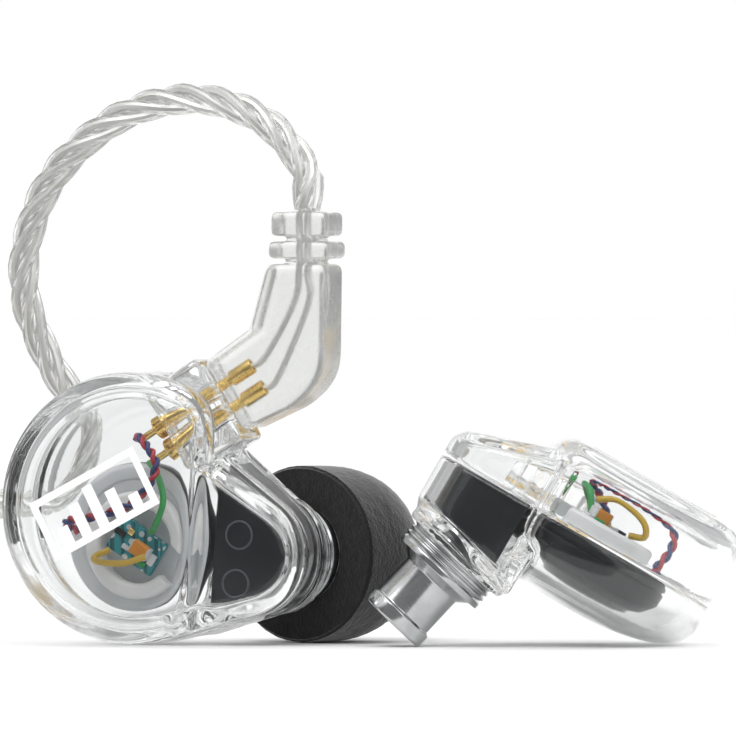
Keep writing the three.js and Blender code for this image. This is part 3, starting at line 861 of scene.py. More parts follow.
# ---------------------------------------------------------------- shells
@dataclass
class Shell:
    """The two clear halves of an earpiece: a rounded body with a step down to a nose."""

    radius: float = 10.3
    shoulder: float = 6.3
    squareness: float = 12
    deep_inset: float = 2
    wall: float = 1.3
    nose_wall: float = 1.15
    cover_top: float = 5.97
    cover_round: float = 1.9
    nose_centre: tuple[float, float] = (8.4, -2.9)
    nose_radius: float = 4.7
    upper_edge: float = radians(57)
    lower_edge: float = radians(-70)
    nose_back: float = 3.6
    root_height: float = 4.26
    root_x: float = 6.75
    slope: float = 0.335
    nozzle_base: tuple[float, float, float] = (8.3, -3.0, -5.78)
    nozzle_tilt: float = radians(13.5)
    grain: float = 0.17
    passes: int = 8
    levels: tuple[tuple[float, float], ...] = (
        (-5.58, 8), (-5.45, 6.2), (-5.1, 4.2), (-4.5, 2.2), (-3.7, 0.9), (-3.0, 0.3), (-2.1, 0), (-0.05, 0)
    )
    cavity_levels: tuple[tuple[float, float], ...] = (
        (-4.55, 8), (-4.3, 5.6), (-3.8, 3.6), (-3.2, 2.3), (-2.5, 1.6), (-1.6, 1.3), (0.5, 1.3)
    )

    def body_ring(self, inset: float, z: float, count: int = 160) -> Ring:
        """Draw the rounded body's outline, drawn in by an inset."""
        tail, front = self.radius - inset, self.shoulder - min(inset, self.deep_inset)
        ring = []
        for i in range(count):
            angle = 2 * pi * i / count
            reach = max(0.0, cos(angle)) / front
            r = (tail**-self.squareness + reach**self.squareness) ** (-1 / self.squareness)
            ring.append(Vector((r * cos(angle), r * sin(angle), z)))
        return ring

    def nose_ring(self, inset: float, height: Callable[[float], float], back: float | None = None) -> Ring:
        """Draw the nose's outline: an arc with two straight edges that run back into the body."""
        back = self.nose_back if back is None else back
        (cx, cy), r, arc = self.nose_centre, self.nose_radius - inset, 48
        ring = []
        for i in range(arc + 1):
            angle = self.lower_edge + (self.upper_edge - self.lower_edge) * i / arc
            ring.append((cx + r * cos(angle), cy + r * sin(angle)))
        (ux, uy), (lx, ly) = ring[-1], ring[0]
        ring.append((back, uy + (ux - back) / tan(self.upper_edge)))
        ring.append((back, ly + (lx - back) / tan(self.lower_edge)))
        return [Vector((x, y, height(x))) for x, y in ring]

    def nose_top(self, x: float) -> float:
        """Height of the nose's sloping top."""
        return self.root_height - self.slope * (x - self.root_x)

    def nose_floor(self, x: float) -> float:
        """Height of the nose's floor, square to the nozzle."""
        return self.nozzle_base[2] + tan(self.nozzle_tilt) * (x - self.nozzle_base[0])

    @staticmethod
    def round_edge(top: float, radius: float, inset: float, steps: int) -> list[tuple[float, float]]:
        """List heights and insets of a quarter-round edge that ends at a height."""
        out = []
        for i in range(steps + 1):
            angle = pi / 2 * i / steps
            out.append((top - radius * (1 - sin(angle)), inset + radius * (1 - cos(angle))))
        return out

    def along_nozzle(self, obj: bpy.types.Object) -> bpy.types.Object:
        """Turn a piece drawn about z so that it points out along the nozzle."""
        turn = Matrix.Rotation(-self.nozzle_tilt, 4, "Y") @ Matrix.Rotation(pi, 4, "X")
        obj.data.transform(Matrix.Translation(self.nozzle_base) @ turn)
        return obj

    def rib(self) -> bpy.types.Object:
        """Make the solid rib beside the step."""
        return rounded_box("rib", (2.5, 2.6, 14), (5.95, -8.4, 0), 0.3)

    def cover(self, notch: bpy.types.Object) -> bpy.types.Object:
        """Model the flat-faced outer half.

        Args:
            notch: The tool that cuts the socket's opening.

        Returns:
            The half in its own millimetres.
        """
        levels = [(SEAM_GAP / 2, 0.0), *self.round_edge(self.cover_top, self.cover_round, 0, 12)]
        out = loft("cover", [self.body_ring(i, z) for z, i in levels])
        nose = [self.nose_ring(0, lambda x: SEAM_GAP / 2)]
        for drop, inset in self.round_edge(0, 0.9, 0, 8):
            nose.append(self.nose_ring(inset, lambda x, d=drop: self.nose_top(x) + d))
        combine(out, loft("nose", nose), "UNION")
        levels = [(-0.5, self.wall), *self.round_edge(self.cover_top - 1.15, 0.9, self.wall, 6)]
        hollow = loft("hollow", [self.body_ring(i, z) for z, i in levels])
        room = [
            self.nose_ring(self.nose_wall, lambda x: -0.5),
            self.nose_ring(self.nose_wall, lambda x: self.nose_top(x) - 1),
        ]
        combine(hollow, loft("room", room), "UNION")
        combine(hollow, self.rib())
        combine(out, hollow)
        combine(out, notch)
        return melt(out, self.grain, self.passes)

    def inner(self, notch: bpy.types.Object) -> bpy.types.Object:
        """Model the domed half with the rim that holds the nozzle.

        Args:
            notch: The tool that cuts the socket's opening.

        Returns:
            The half in its own millimetres.
        """
        outline = smooth_path([(z, i, 0) for z, i in self.levels], 0.35)
        out = loft("inner", [self.body_ring(max(p.y, 0), p.x) for p in outline])
        nose = []
        for drop, inset in reversed(self.round_edge(0, 1.1, 0, 8)):
            nose.append(self.nose_ring(inset, lambda x, d=drop: self.nose_floor(x) - d))
        nose.append(self.nose_ring(0, lambda x: -SEAM_GAP / 2))
        combine(out, loft("nose", nose), "UNION")
        rim = turned("rim", [(0, -0.7), (4.6, -0.7), (4.6, 0.65), (0, 0.65)], 96)
        combine(out, self.along_nozzle(rim), "UNION")
        outline = smooth_path([(z, i, 0) for z, i in self.cavity_levels], 0.45)
        hollow = loft("hollow", [self.body_ring(p.y, p.x) for p in outline])
        back = self.nose_back + 1
        room = [
            self.nose_ring(self.nose_wall, lambda x: self.nose_floor(x) + 1.1, back),
            self.nose_ring(self.nose_wall, lambda x: 0.5, back),
        ]
        combine(hollow, loft("room", room), "UNION")
        combine(hollow, self.rib())
        combine(out, hollow)
        combine(out, notch)
        combine(out, self.along_nozzle(turned("seat", [(0, 0), (3.95, 0), (3.95, 2), (0, 2)], 96)))
        combine(out, self.along_nozzle(turned("port", [(0, -2), (2.1, -2), (2.1, 1), (0, 1)])))
        return melt(out, self.grain, self.passes)


# ---------------------------------------------------------------- socket and plug
@dataclass
class Socket:
    """The clear two-pin socket block set into the shell, with its gold contacts."""

    heading: float = radians(35.9)
    face_at: float = 10.09
    back_at: float = 5.2
    offset: float = 3.6
    width: float = 7.1
    thickness: float = 4.8
    height: float = 0.4
    pitch: float = 1.9

    def matrix(self, sideways: float, heading: float | None = None) -> Matrix:
        """Place a piece drawn about z along a pin line."""
        heading = self.heading if heading is None else heading
        return (
            Matrix.Rotation(heading, 4, "Z")
            @ Matrix.Translation((0, sideways, self.height))
            @ Matrix.Rotation(pi / 2, 4, "Y")
        )

    def notch(self) -> bpy.types.Object:
        """Make the tool that cuts the socket's opening in the shell."""
        length = self.face_at - self.back_at + 4
        size = (length, self.width + 2 * SEAM_GAP, self.thickness + 2 * SEAM_GAP)
        tool = rounded_box("notch", size, (self.back_at - 2 * SEAM_GAP + length / 2, 0, 0), 0.4)
        tool.data.transform(
            Matrix.Rotation(self.heading, 4, "Z") @ Matrix.Translation((0, self.offset, self.height))
        )
        return tool

    def block(self) -> bpy.types.Object:
        """Model the block with its two bores."""
        length = self.face_at - self.back_at
        size = (length, self.width, self.thickness)
        out = rounded_box("block", size, (self.back_at + length / 2, 0, 0), 0.45)
        for side in (1, -1):
            bore = turned("bore", [(0, 0), (0.78, 0), (0.78, length + 4), (0, length + 4)], 32)
            place = Matrix.Translation((self.back_at - 1, side * self.pitch / 2, 0))
            bore.data.transform(place @ Matrix.Rotation(pi / 2, 4, "Y"))
            combine(out, bore)
        out.data.transform(
            Matrix.Rotation(self.heading, 4, "Z") @ Matrix.Translation((0, self.offset, self.height))
        )
        return smooth(out)

    def contact(self, side: int) -> bpy.types.Object:
        """Model one gold contact: solder tail, knurled collar and pin tube."""
        back, mouth = 3.9, self.face_at - 0.15
        profile = [(0, back - 1.4), (0.28, back - 1.4), (0.28, back), (0.88, back), (0.88, back + 1.1)]
        profile += [(0.68, back + 1.1), (0.68, mouth), (0.47, mouth), (0.47, 5.4), (0, 5.4)]
        out = turned(
            "contact", softened(profile, 0.08), 48,
            knurl=lambda h: 0.1 if back + 0.05 < h < back + 1.05 else 0.0,
        )
        out.data.transform(self.matrix(self.offset + side * self.pitch / 2))
        return out


@dataclass
class Plug:
    """The clear angled two-pin plug, drawn upright, with its pins and the wires moulded into it."""

    socket: Socket
    rise: float = radians(31.5)
    width: float = 6
    thickness: float = 4.2
    top: float = 18.4
    neck_x: float = 13.0
    neck_top: float = 22.4
    pin_radius: float = 0.39
    tip_at: float = 5.7
    cup_from: float = 11.2
    cup_to: float = 13.2
    grain: float = 0.13
    passes: int = 3

    def upright(self, t: float, s: float) -> tuple[float, float]:
        """Turn a point along and across the pins into level and upright."""
        return (t * cos(self.rise) - s * sin(self.rise), t * sin(self.rise) + s * cos(self.rise))

    def body(self) -> bpy.types.Object:
        """Model the moulded body: a flat elbow, two grip ribs and the cable neck."""
        start, middle = self.socket.face_at + 0.15, self.socket.offset
        corners = [self.upright(start, middle - self.width / 2), (12.3, 7.6)]
        bend = [(12.3, 7.6), (15.1, 9.2), (15.1, 11.6)]
        for i in range(1, 9):
            t = i / 8
            a, b, c = ((1 - t) ** 2, 2 * t * (1 - t), t * t)
            corners.append(tuple(a * p + b * q + c * r for p, q, r in zip(*bend)))
        corners += [(15.2, self.top), (10.4, self.top), (9.0, 13.5)]
        corners.append(self.upright(start, middle + self.width / 2))
        low = self.socket.height - self.thickness / 2
        rings = [[Vector((x, y, z)) for x, y in corners] for z in (low, low + self.thickness)]
        out = loft("elbow", rings)
        apply_modifier(out, "BEVEL", width=0.55, segments=4, limit_method="ANGLE", angle_limit=radians(40))
        profile = [(0, self.top - 1), (1.55, self.top - 1), (1.45, self.neck_top), (0, self.neck_top)]
        neck = turned("neck", softened(profile, 0.2), 48)
        neck.data.transform(
            Matrix.Translation((self.neck_x, 0, self.socket.height)) @ Matrix.Rotation(-pi / 2, 4, "X")
        )
        combine(out, neck, "UNION")
        for width, low, high in ((4.8, 18.8, 20.1), (4.4, 20.5, 22.3)):
            size = (width, high - low, self.thickness - 0.2)
            centre = (self.neck_x, (low + high) / 2, self.socket.height)
            combine(out, rounded_box("grip", size, centre, 0.35), "UNION")
        return melt(out, self.grain, self.passes)

    def pin(self, side: int) -> bpy.types.Object:
        """Model one gold pin with its solder cup."""
        r = self.pin_radius
        profile = [(0, self.tip_at), (r - 0.15, self.tip_at), (r, self.tip_at + 0.25), (r, self.cup_from)]
        profile += [(0.6, self.cup_from), (0.6, self.cup_to), (0.4, self.cup_to), (0.4, self.cup_to - 0.5)]
        out = turned("pin", softened([*profile, (0, self.cup_to - 0.5)], 0.06), 32)
        out.data.transform(self.socket.matrix(self.socket.offset + side * self.socket.pitch / 2, self.rise))
        return out

    def wires(self) -> bpy.types.Object:
        """Model the silver wires that run from the neck to the pin cups."""
        lines = []
        z, x = self.socket.height, self.neck_x
        for side in (1, -1):
            cup = self.upright(self.cup_to - 0.3, self.socket.offset + side * self.socket.pitch / 2)
            lean = self.upright(self.cup_to + 1.2, self.socket.offset + side * self.socket.pitch / 2)
            for shift in (0.22, -0.22):
                route = [
                    (x - side * 0.35, self.neck_top + 0.3, z + shift * 1.6),
                    (x - side * 0.35, self.top - 0.5, z + shift * 1.6),
                    (x - side * 0.6 - 0.2, 15.4, z + shift),
                    (*lean, z + shift * 0.8),
                    (*cup, z + shift * 0.5),
                ]
                lines.append(smooth_path(route, 0.35))
        return strands("plug_wires", lines, 0.2)


# ---------------------------------------------------------------- inside an earpiece
@dataclass
class Earpiece:
    """One earpiece, modelled once in its own millimetres and set in place on both sides."""

    shell: Shell
    socket: Socket
    driver_centre: tuple[float, float] = (-0.9, -2.4)
    ring_centre: tuple[float, float] = (-0.3, -2.9)
    badge_centre: tuple[float, float] = (-2.0, 0.2)
    badge_turn: float = 32
    board_turn: float = -28.6
    clearance: float = 0.2
    parts: list[Part] = field(default_factory=list)

    red_route: tuple[Point, ...] = (
        (-0.9, 4.9, 0.8), (0.6, 4.6, 2.6), (2.6, 2.6, 4.0), (1.0, 0, 4.3),
        (-1.8, -1.2, 4.35), (-4.6, -1.8, 3.7), (-5.2, -2.3, 2.3), (-4.9, -2.6, 0.5),
    )
    blue_route: tuple[Point, ...] = (
        (-1.1, 5.6, 0.8), (0, 5.6, 2.6), (1.6, 3.9, 3.9), (0.4, 1.2, 4.25),
        (-2.2, -0.2, 4.3), (-5.0, -0.9, 3.6), (-5.7, -1.5, 2.2), (-5.4, -2.0, 0.5),
    )
    green_route: tuple[Point, ...] = (
        (0.2, 3.4, 0.8), (1.6, 2.6, 2.4), (2.6, 0.8, 3.3), (2.0, -1.2, 3.1), (1.1, -1.8, 1.7),
    )
    yellow_route: tuple[Point, ...] = (
        (1.2, -3.6, 2.8), (-0.2, -4.2, 3.5), (-2.4, -4.3, 3.1), (-3.2, -4.0, 2.1), (-2.2, -3.4, 1.6),
    )

    def add(self, master: bpy.types.Object, name: str, slot: str, node: str, look: Look) -> None:
        """Dress a master piece in one finish and keep it for both sides."""
        dress(master, look)
        self.parts.append(Part(master, name, slot, node))

    def build_shell(self) -> None:
        """Model both clear halves and the socket block."""
        cover = self.shell.cover(self.socket.notch())
        self.add(cover, "outer_half", "clear_shell", "face_cover", Look.SHELL)
        inner = self.shell.inner(self.socket.notch())
        self.add(inner, "inner_half", "clear_shell", "inner_shell", Look.SHELL)
        self.add(self.socket.block(), "socket", "clear_shell", "socket_block", Look.SHELL)
        self.add(self.socket.contact(1), "gold_contact_outer", "gold", "contact_outer", Look.GOLD)
        self.add(self.socket.contact(-1), "gold_contact_inner", "gold", "contact_inner", Look.GOLD)

    def build_drivers(self) -> None:
        """Model the dynamic driver, its clip and the block in the nose."""
        profile = [(0, -4.3), (1.8, -4.2), (3.4, -3.75), (5.0, -3.1), (5.7, -2.55), (5.7, -1.15)]
        profile += [(5.55, -1.1), (5.55, -0.95), (5.7, -0.9), (5.7, -0.55), (5.35, -0.2), (4.5, -0.2)]
        profile += [(4.4, -0.32), (0, -0.32)]
        driver = turned("driver", softened(profile, 0.15), 96)
        driver.data.transform(Matrix.Translation((*self.driver_centre, 0)))
        dress(driver, Look.ABS, Look.PLATE)
        paint_faces(driver, 1, lambda centre, normal: normal.z > 0.6 and centre.z > -0.5)
        self.parts.append(Part(driver, "driver_capsule", "black_plastic", "dynamic_driver"))

        profile = [(2.9, 0.1), (4.1, 0.1), (4.1, 1.15), (3.85, 1.4), (3.15, 1.4), (2.9, 1.15)]
        clip = turned("clip", softened(profile, 0.12, closed=True), 96, closed=True)
        combine(clip, rounded_box("gap", (4, 2.6, 4), (3.6, -1.6, 1), 0.3, turn=-32))
        clip.data.transform(Matrix.Translation((*self.ring_centre, 0)))
        smooth(clip)
        self.add(clip, "driver_clip", "frosted_plastic", "driver_ring", Look.FROSTED)

        inset, back, shell = self.shell.nose_wall + self.clearance, 5.3, self.shell
        block = loft("carrier", [
            shell.nose_ring(inset, lambda x: shell.nose_floor(x) + 1.25, back),
            shell.nose_ring(inset, lambda x: -0.4, back),
        ])
        combine(block, rounded_box("rib", (2.7, 2.8, 14), (5.95, -8.4, 0), 0.3))
        apply_modifier(block, "BEVEL", width=0.16, segments=3, limit_method="ANGLE", angle_limit=radians(40))
        dress(block, Look.ABS)
        for y in (-1.5, -5.2):
            ring = [(0.98, -0.5), (1.12, -0.5), (1.12, -0.3), (0.98, -0.3)]
            mark = turned("mark", softened(ring, 0.04, closed=True), 64, closed=True)
            mark.data.transform(Matrix.Translation((7.3, y, 0)))
            dress(mark, Look.MARK)
            block = joined([block, mark], "carrier")
        smooth(block)
        self.parts.append(Part(block, "nose_driver", "black_plastic", "nose_carrier"))

    def build_board(self) -> None:
        """Model the crossover board, its capacitor and a few small chips."""
        board = rounded_box("board", (4.2, 2.8, 0.6), (-0.2, -2.9, 1.0), 0.06, turn=self.board_turn)
        dress(board, Look.BOARD)
        pieces = [board]
        for x, y, size, look in (
            (-1.5, -2.0, (0.9, 0.5, 0.35), Look.ABS), (-1.0, -3.1, (0.6, 0.35, 0.3), Look.TIN),
            (-0.6, -1.9, (0.5, 0.5, 0.3), Look.GOLD), (1.2, -3.9, (0.5, 0.9, 0.3), Look.FROSTED),
            (0.3, -4.2, (0.8, 0.4, 0.3), Look.GREEN),
        ):
            chip = rounded_box("chip", size, (x, y, 1.42), 0.06, turn=self.board_turn)
            pieces.append(dress(chip, look))
        board = joined(pieces, "board")
        self.parts.append(Part(board, "crossover", "board_teal", "crossover_board"))
        middle = Vector((0.4, -3.2, 1.85))
        body = rounded_box("resin", (1.6, 1.1, 0.9), middle, 0.14, turn=self.board_turn)
        dress(body, Look.RESIN, Look.TIN)
        turn = Matrix.Rotation(-radians(self.board_turn), 3, "Z")
        paint_faces(body, 1, lambda centre, normal: abs((turn @ (centre - middle)).x) > 0.66)
        self.parts.append(Part(body, "tantalum_capacitor", "capacitor_orange", "capacitor"))

    def build_wires(self) -> None:
        """Model the enamelled wires: red and blue are twisted together."""
        middle = [(Vector(a) + Vector(b)) / 2 for a, b in zip(self.red_route, self.blue_route)]
        pair = smooth_path(middle, 0.16)
        for phase, look, name in ((0, Look.RED, "wire_red"), (pi, Look.BLUE, "wire_blue")):
            line = wound(pair, lambda walked: 0.19, 1.9, phase)
            self.add(strands(name, [line], 0.18, roundness=3), "enamelled_" + name, name, name, look)
        for route, look, name in (
            (self.green_route, Look.GREEN, "wire_green"), (self.yellow_route, Look.YELLOW, "wire_yellow"),
        ):
            wire = strands(name, [smooth_path(route, 0.25)], 0.25, roundness=3)
            self.add(wire, "enamelled_" + name, name, name, look)

    def build_nozzle(self) -> None:
        """Model the machined nozzle, its woven mesh and the sound tube."""
        profile = [(1.95, 0.1), (3.3, 0.1)]
        for i in range(3):
            h = 0.4 + i * 0.475
            profile += [(3.72, h), (3.9, h + 0.1), (3.9, h + 0.275), (3.72, h + 0.375)]
        profile += [(3.9, 1.95), (3.9, 2.4), (3.3, 2.4), (2.475, 3.05), (2.475, 6.25)]
        profile += [(2.75, 6.4), (2.75, 7.35), (2.6, 7.5), (1.95, 7.5)]
        nozzle = turned("nozzle", softened(profile, 0.07, closed=True), 128, closed=True)
        self.add(self.shell.along_nozzle(nozzle), "sound_nozzle", "steel", "nozzle", Look.STEEL)

        lines, radius, pitch = [], 1.82, 0.26
        for i in range(-6, 7):
            half = (radius**2 - (i * pitch) ** 2) ** 0.5
            count = max(3, round(2 * half / 0.13))
            for across in (0, 1):
                line = []
                for k in range(count + 1):
                    u = -half + 2 * half * k / count
                    lift = 0.05 * cos(pi * (u / pitch + i + across))
                    spot = (u, i * pitch) if across else (i * pitch, u)
                    line.append(Vector((*spot, 6.72 + lift)))
                lines.append(line)
        weave = strands("weave", lines, 0.055, roundness=0)
        self.add(self.shell.along_nozzle(weave), "nozzle_weave", "mesh_steel", "nozzle_mesh", Look.MESH)

        profile = softened([(1.15, -0.95), (1.75, -0.95), (1.75, 6.2), (1.15, 6.2)], 0.12, closed=True)
        tube = self.shell.along_nozzle(turned("tube", profile, 64, closed=True))
        self.add(tube, "sound_bore_tube", "silicone_black", "sound_tube", Look.SILICONE)

    def build_badge(self) -> None:
        """Model the printed mark: a frame with five level bars standing on its lower side."""
        width, height, border, thickness = 9.6, 4.8, 0.55, 0.12
        z = self.shell.cover_top + 0.06 + thickness / 2
        mark = rounded_box("mark", (width, height, thickness), (0, 0, 0), 0.03)
        room = height - 2 * border
        combine(mark, rounded_box("opening", (width - 2 * border, room, 1), (0, 0, 0), 0.1))
        pitch = (width - 2 * border) / 5.4
        for i, level in enumerate((0.4, 0.7, 0.9, 0.6, 0.3)):
            tall = room * level + border / 2
            y = (tall - border / 2 - room) / 2 - border / 4
            bar = rounded_box("bar", (pitch * 0.55, tall, thickness * 0.98), ((i - 2) * pitch, y, 0), 0.03)
            combine(mark, bar, "UNION")
        turn = Matrix.Rotation(radians(self.badge_turn), 4, "Z")
        mark.data.transform(Matrix.Translation((*self.badge_centre, z)) @ turn)
        self.add(smooth(mark), "printed_mark", "white_ink", "badge", Look.INK)

    def place(self) -> None:
        """Set every piece in both earpieces and drop the masters."""
        for part in self.parts:
            for side, pose, body in (
                (Side.LEFT, STAND.left(), Body.LEFT), (Side.RIGHT, STAND.right(), Body.RIGHT),
            ):
                nodes = [f"{side.value}_{part.node}"]
                install(part.master, f"{side.value}_{part.name}", pose, body, part.slot, nodes)
            bpy.data.objects.remove(part.master)

    def build(self) -> None:
        """Model and place the whole earpiece."""
        self.build_shell()
        self.build_drivers()
        self.build_board()
        self.build_wires()
        self.build_nozzle()
        self.build_badge()
        self.place()


# ---------------------------------------------------------------- ear tip
@dataclass
class EarTip:
    """The foam ear tip on its silicone core."""

    shell: Shell
    radius: float = 6.75
    start: float = 2.8
    end: float = 12.3
    bore_radius: float = 3.55
    mouth: float = 2.3
    front_radius: float = 4.2
    core_end: float = 9.4

    def build(self) -> None:
        """Model and place the foam and the core."""
        profile = [(self.bore_radius, self.start), (self.radius - 0.25, self.start)]
        profile += [(self.radius, self.start + 0.3), (self.radius, self.start + 3.6)]
        length = self.end - 0.5 - (self.start + 3.6)
        for i in range(1, 17):
            angle = pi / 2 * i / 16
            reach = self.front_radius + (self.radius - self.front_radius) * cos(angle)
            profile.append((reach, self.start + 3.6 + length * sin(angle)))
        profile += [(self.front_radius - 0.6, self.end), (self.mouth, self.end)]
        profile += [(self.mouth, self.core_end + 0.2), (self.bore_radius, self.core_end + 0.2)]
        profile = softened(profile, 0.4, closed=True)
        dense = smooth_path([(*p, 0) for p in profile], 0.22)
        foam = turned("foam", [(p.x, p.y) for p in dense], 160, closed=True)
        self.roughen(foam)
        dress(self.shell.along_nozzle(foam), Look.FOAM)
        piece = install(foam, "memory_foam_tip", STAND.left(), Body.TIP, "foam_black", ["foam_tip"])
        bpy.data.objects.remove(foam)
        profile = [(2.86, self.start), (3.45, self.start), (3.45, self.core_end), (2.86, self.core_end)]
        core = turned("core", softened(profile, 0.15, closed=True), 96, closed=True)
        dress(self.shell.along_nozzle(core), Look.SILICONE)
        install(core, "foam_core_tube", STAND.left(), Body.TIP, "silicone_black", ["tip_core"])
        bpy.data.objects.remove(core)

    def roughen(self, foam: bpy.types.Object) -> None:
        """Press the torn cells of the foam into its surface."""
        cells = bpy.data.textures.new("cells", "CLOUDS")
        cells.noise_scale = 0.35
        cells.noise_depth = 2
        apply_modifier(foam, "DISPLACE", texture=cells, strength=0.1, mid_level=0.75, texture_coords="LOCAL")
        smooth(foam, 60)


# ---------------------------------------------------------------- cable
LOOP_ROUTE = (
    (-4.6, -5.25, 33.05), (-4.55, -5.2, 34.3), (-4.8, -4.5, 36.2), (-8.0, -2.4, 39.8),
    (-13.1, 1.0, 41.4), (-18.6, 4.6, 40.2), (-23.5, 7.7, 36.3), (-26.0, 10.0, 31.3),
    (-26.3, 11.4, 26.2), (-24.4, 12.4, 21.2), (-21.6, 13.0, 16.3), (-23.5, 13.6, 11.6),
    (-30.0, 15.2, 10.2), (-38.5, 17.7, 9.8),
)
RIGHT_LEAD_ROUTE = (
    (-67.3, 7.0, 7.6), (-66.6, 11.8, 9.6), (-63.6, 15.6, 11.2), (-59.0, 17.0, 11.8), (-54.5, 17.0, 11.8),
)
JACK_LEAD_ROUTE = (
    (-69.5, 15.4, 3.15), (-68.9, 18.0, 3.2), (-66.2, 20.4, 3.4), (-62.0, 21.3, 3.7), (-57.0, 21.2, 4.1),
)


@dataclass
class Cable:
    """The twisted cable: ear loop, coil, Y-split, right lead with its loose plug, and jack."""

    plug: Plug
    coil_centre: tuple[float, float] = (-49.8, 4.0)
    split_height: float = 11.75
    split_reach: float = 10.5
    lay: float = 13.0
    strand_radius: float = 0.5
    strand_offset: float = 0.71
    core_radius: float = 0.2
    spacing: float = 0.8
    taper: float = 12
    thinning: float = 0.22
    loop_end: float = 95
    jack_x: float = -69.5
    jack_front: float = -20
    jack_radius: float = 3.1

    def winding(self, knots: Sequence[tuple[float, float, float]]) -> list[tuple[float, float, float]]:
        """Lay points round the coil, 24 to a turn.

        Args:
            knots: Angle in degrees, radius and height at the ends of each even stretch.

        Returns:
            The points, without the first knot.
        """
        cx, cy = self.coil_centre
        out = []
        for (a0, r0, z0), (a1, r1, z1) in zip(knots, knots[1:]):
            count = max(1, round((a1 - a0) / 15))
            for i in range(1, count + 1):
                t = i / count
                angle, r = radians(a0 + (a1 - a0) * t), r0 + (r1 - r0) * t
                out.append((cx + r * cos(angle), cy + r * sin(angle), z0 + (z1 - z0) * t))
        return out

    def left_route(self) -> list[Point]:
        """Route the left branch from its plug over the loop into the coil and up to the split."""
        knots = [(50.5, 17.8, 9.8), (80, 15.4, 8.55), (820, 11.4, 8.6), (846, 11.6, 10.4)]
        knots.append((874.3, 12.7, self.split_height))
        return [*LOOP_ROUTE, *self.winding(knots)]

    def right_route(self) -> list[Point]:
        """Route the right branch from the split down the coil's middle and out to the loose plug."""
        knots = [(170.3, 17.8, 7.6), (200, 15.3, 6.65), (1470, 8.2, 6.65), (1520, 8.0, 8.9)]
        knots += [(1560, 9.1, 11.1), (1590.1, 11.02, self.split_height)]
        inward = [*reversed(RIGHT_LEAD_ROUTE), *self.winding(knots)]
        return inward[::-1]

    def trunk_route(self) -> list[Point]:
        """Route the trunk from the split down through three layers and out to the jack."""
        knots = [(209.7, 12.09, self.split_height), (240, 11, 11.2), (330, 7.5, 9.6), (400, 5.2, 7)]
        knots += [(520, 5, 3), (600, 6.3, 1.2), (640, 7, 1.0), (2080, 15, 1.0), (2120, 15.1, 2.88)]
        knots += [(3560, 7, 2.88), (3600, 7, 4.78), (4752, 15.1, 4.75), (4775, 16.3, 4.5)]
        cx, cy = self.coil_centre
        start = (cx - self.split_reach, cy - 6, self.split_height)
        return [start, *self.winding(knots), *reversed(JACK_LEAD_ROUTE)]

    def bundle(
        self, name: str, route: Sequence[Point], thick_until: float, nodes: Sequence[str]
    ) -> tuple[bpy.types.Object, list[Vector]]:
        """Lay four twisted strands along a route.

        Args:
            name: The piece's name.
            route: Points in mm.
            thick_until: How far along the stout ear-loop section reaches, in mm.
            nodes: The CAD nodes it stands for.

        Returns:
            The piece and its middle line in metres.
        """
        path = smooth_path(route, self.spacing)

        def size(walked: float) -> float:
            """Factor on the strand's size at a length walked."""
            slack = min(1.0, max(0.0, (walked - thick_until) / self.taper))
            return 1.0 - self.thinning * slack

        def scale(i: int) -> float:
            """Factor on the strand's size at a point of the path."""
            return size(i * self.spacing)

        lines = [
            wound(path, lambda walked: self.strand_offset * size(walked), self.lay, k * pi / 2)
            for k in range(4)
        ]
        jacket = dress(strands(name, lines, self.strand_radius, scale), Look.JACKET)
        core = dress(strands("core", lines, self.core_radius, scale, roundness=1), Look.LITZ)
        cable = joined([jacket, core], name)
        piece = install(cable, name + "_strands", TO_FRAME, Body.CABLE, "cable_clear", nodes)
        bpy.data.objects.remove(cable)
        return piece, [TO_FRAME @ point for point in path]

    def declare(
        self,
        piece: bpy.types.Object,
        path: list[Vector],
    ) -> None:
        """Log the length of a piece's path."""
        length = round(path_length(path), 3)
        LOG.info("%s: %.3f m long", piece.name, length)
        tuple(path[0])
        [tuple(point) for point in path]

    def build_plug(self, side: Side, pose: Matrix) -> list[bpy.types.Object]:
        """Set one plug with its pins and inner wires."""
        out = []
        for master, name, slot, node, look in (
            (self.plug.body(), "plug_moulding", "clear_plug", "plug", Look.PLUG),
            (self.plug.pin(1), "gold_pin_outer", "gold", "pin_outer", Look.GOLD),
            (self.plug.pin(-1), "gold_pin_inner", "gold", "pin_inner", Look.GOLD),
            (self.plug.wires(), "plug_wires", "cable_clear", None, Look.LITZ),
        ):
            dress(master, look)
            nodes = [f"{side.value}_{node}"] if node else []
            out.append(install(master, f"{side.value}_{name}", pose, Body.CABLE, slot, nodes))
            bpy.data.objects.remove(master)
        return out

    def build_split(self) -> bpy.types.Object:
        """Model and place the Y-split."""
        profile = [(0, -6), (1.3, -6), (1.5, -4.5), (1.6, -3.2), (1.75, -3.0), (2.0, 0), (2.1, 4.6)]
        split = turned("split", softened([*profile, (1.7, 5.5), (0, 5.5)], 0.3), 64)
        cx, cy = self.coil_centre
        place = Matrix.Translation((cx - self.split_reach, cy, self.split_height))
        split.data.transform(place @ Matrix.Rotation(-pi / 2, 4, "X"))
        dress(split, Look.SILICONE)
        piece = install(split, "y_split_moulding", TO_FRAME, Body.CABLE, "silicone_black", ["y_split"])
        bpy.data.objects.remove(split)
        return piece

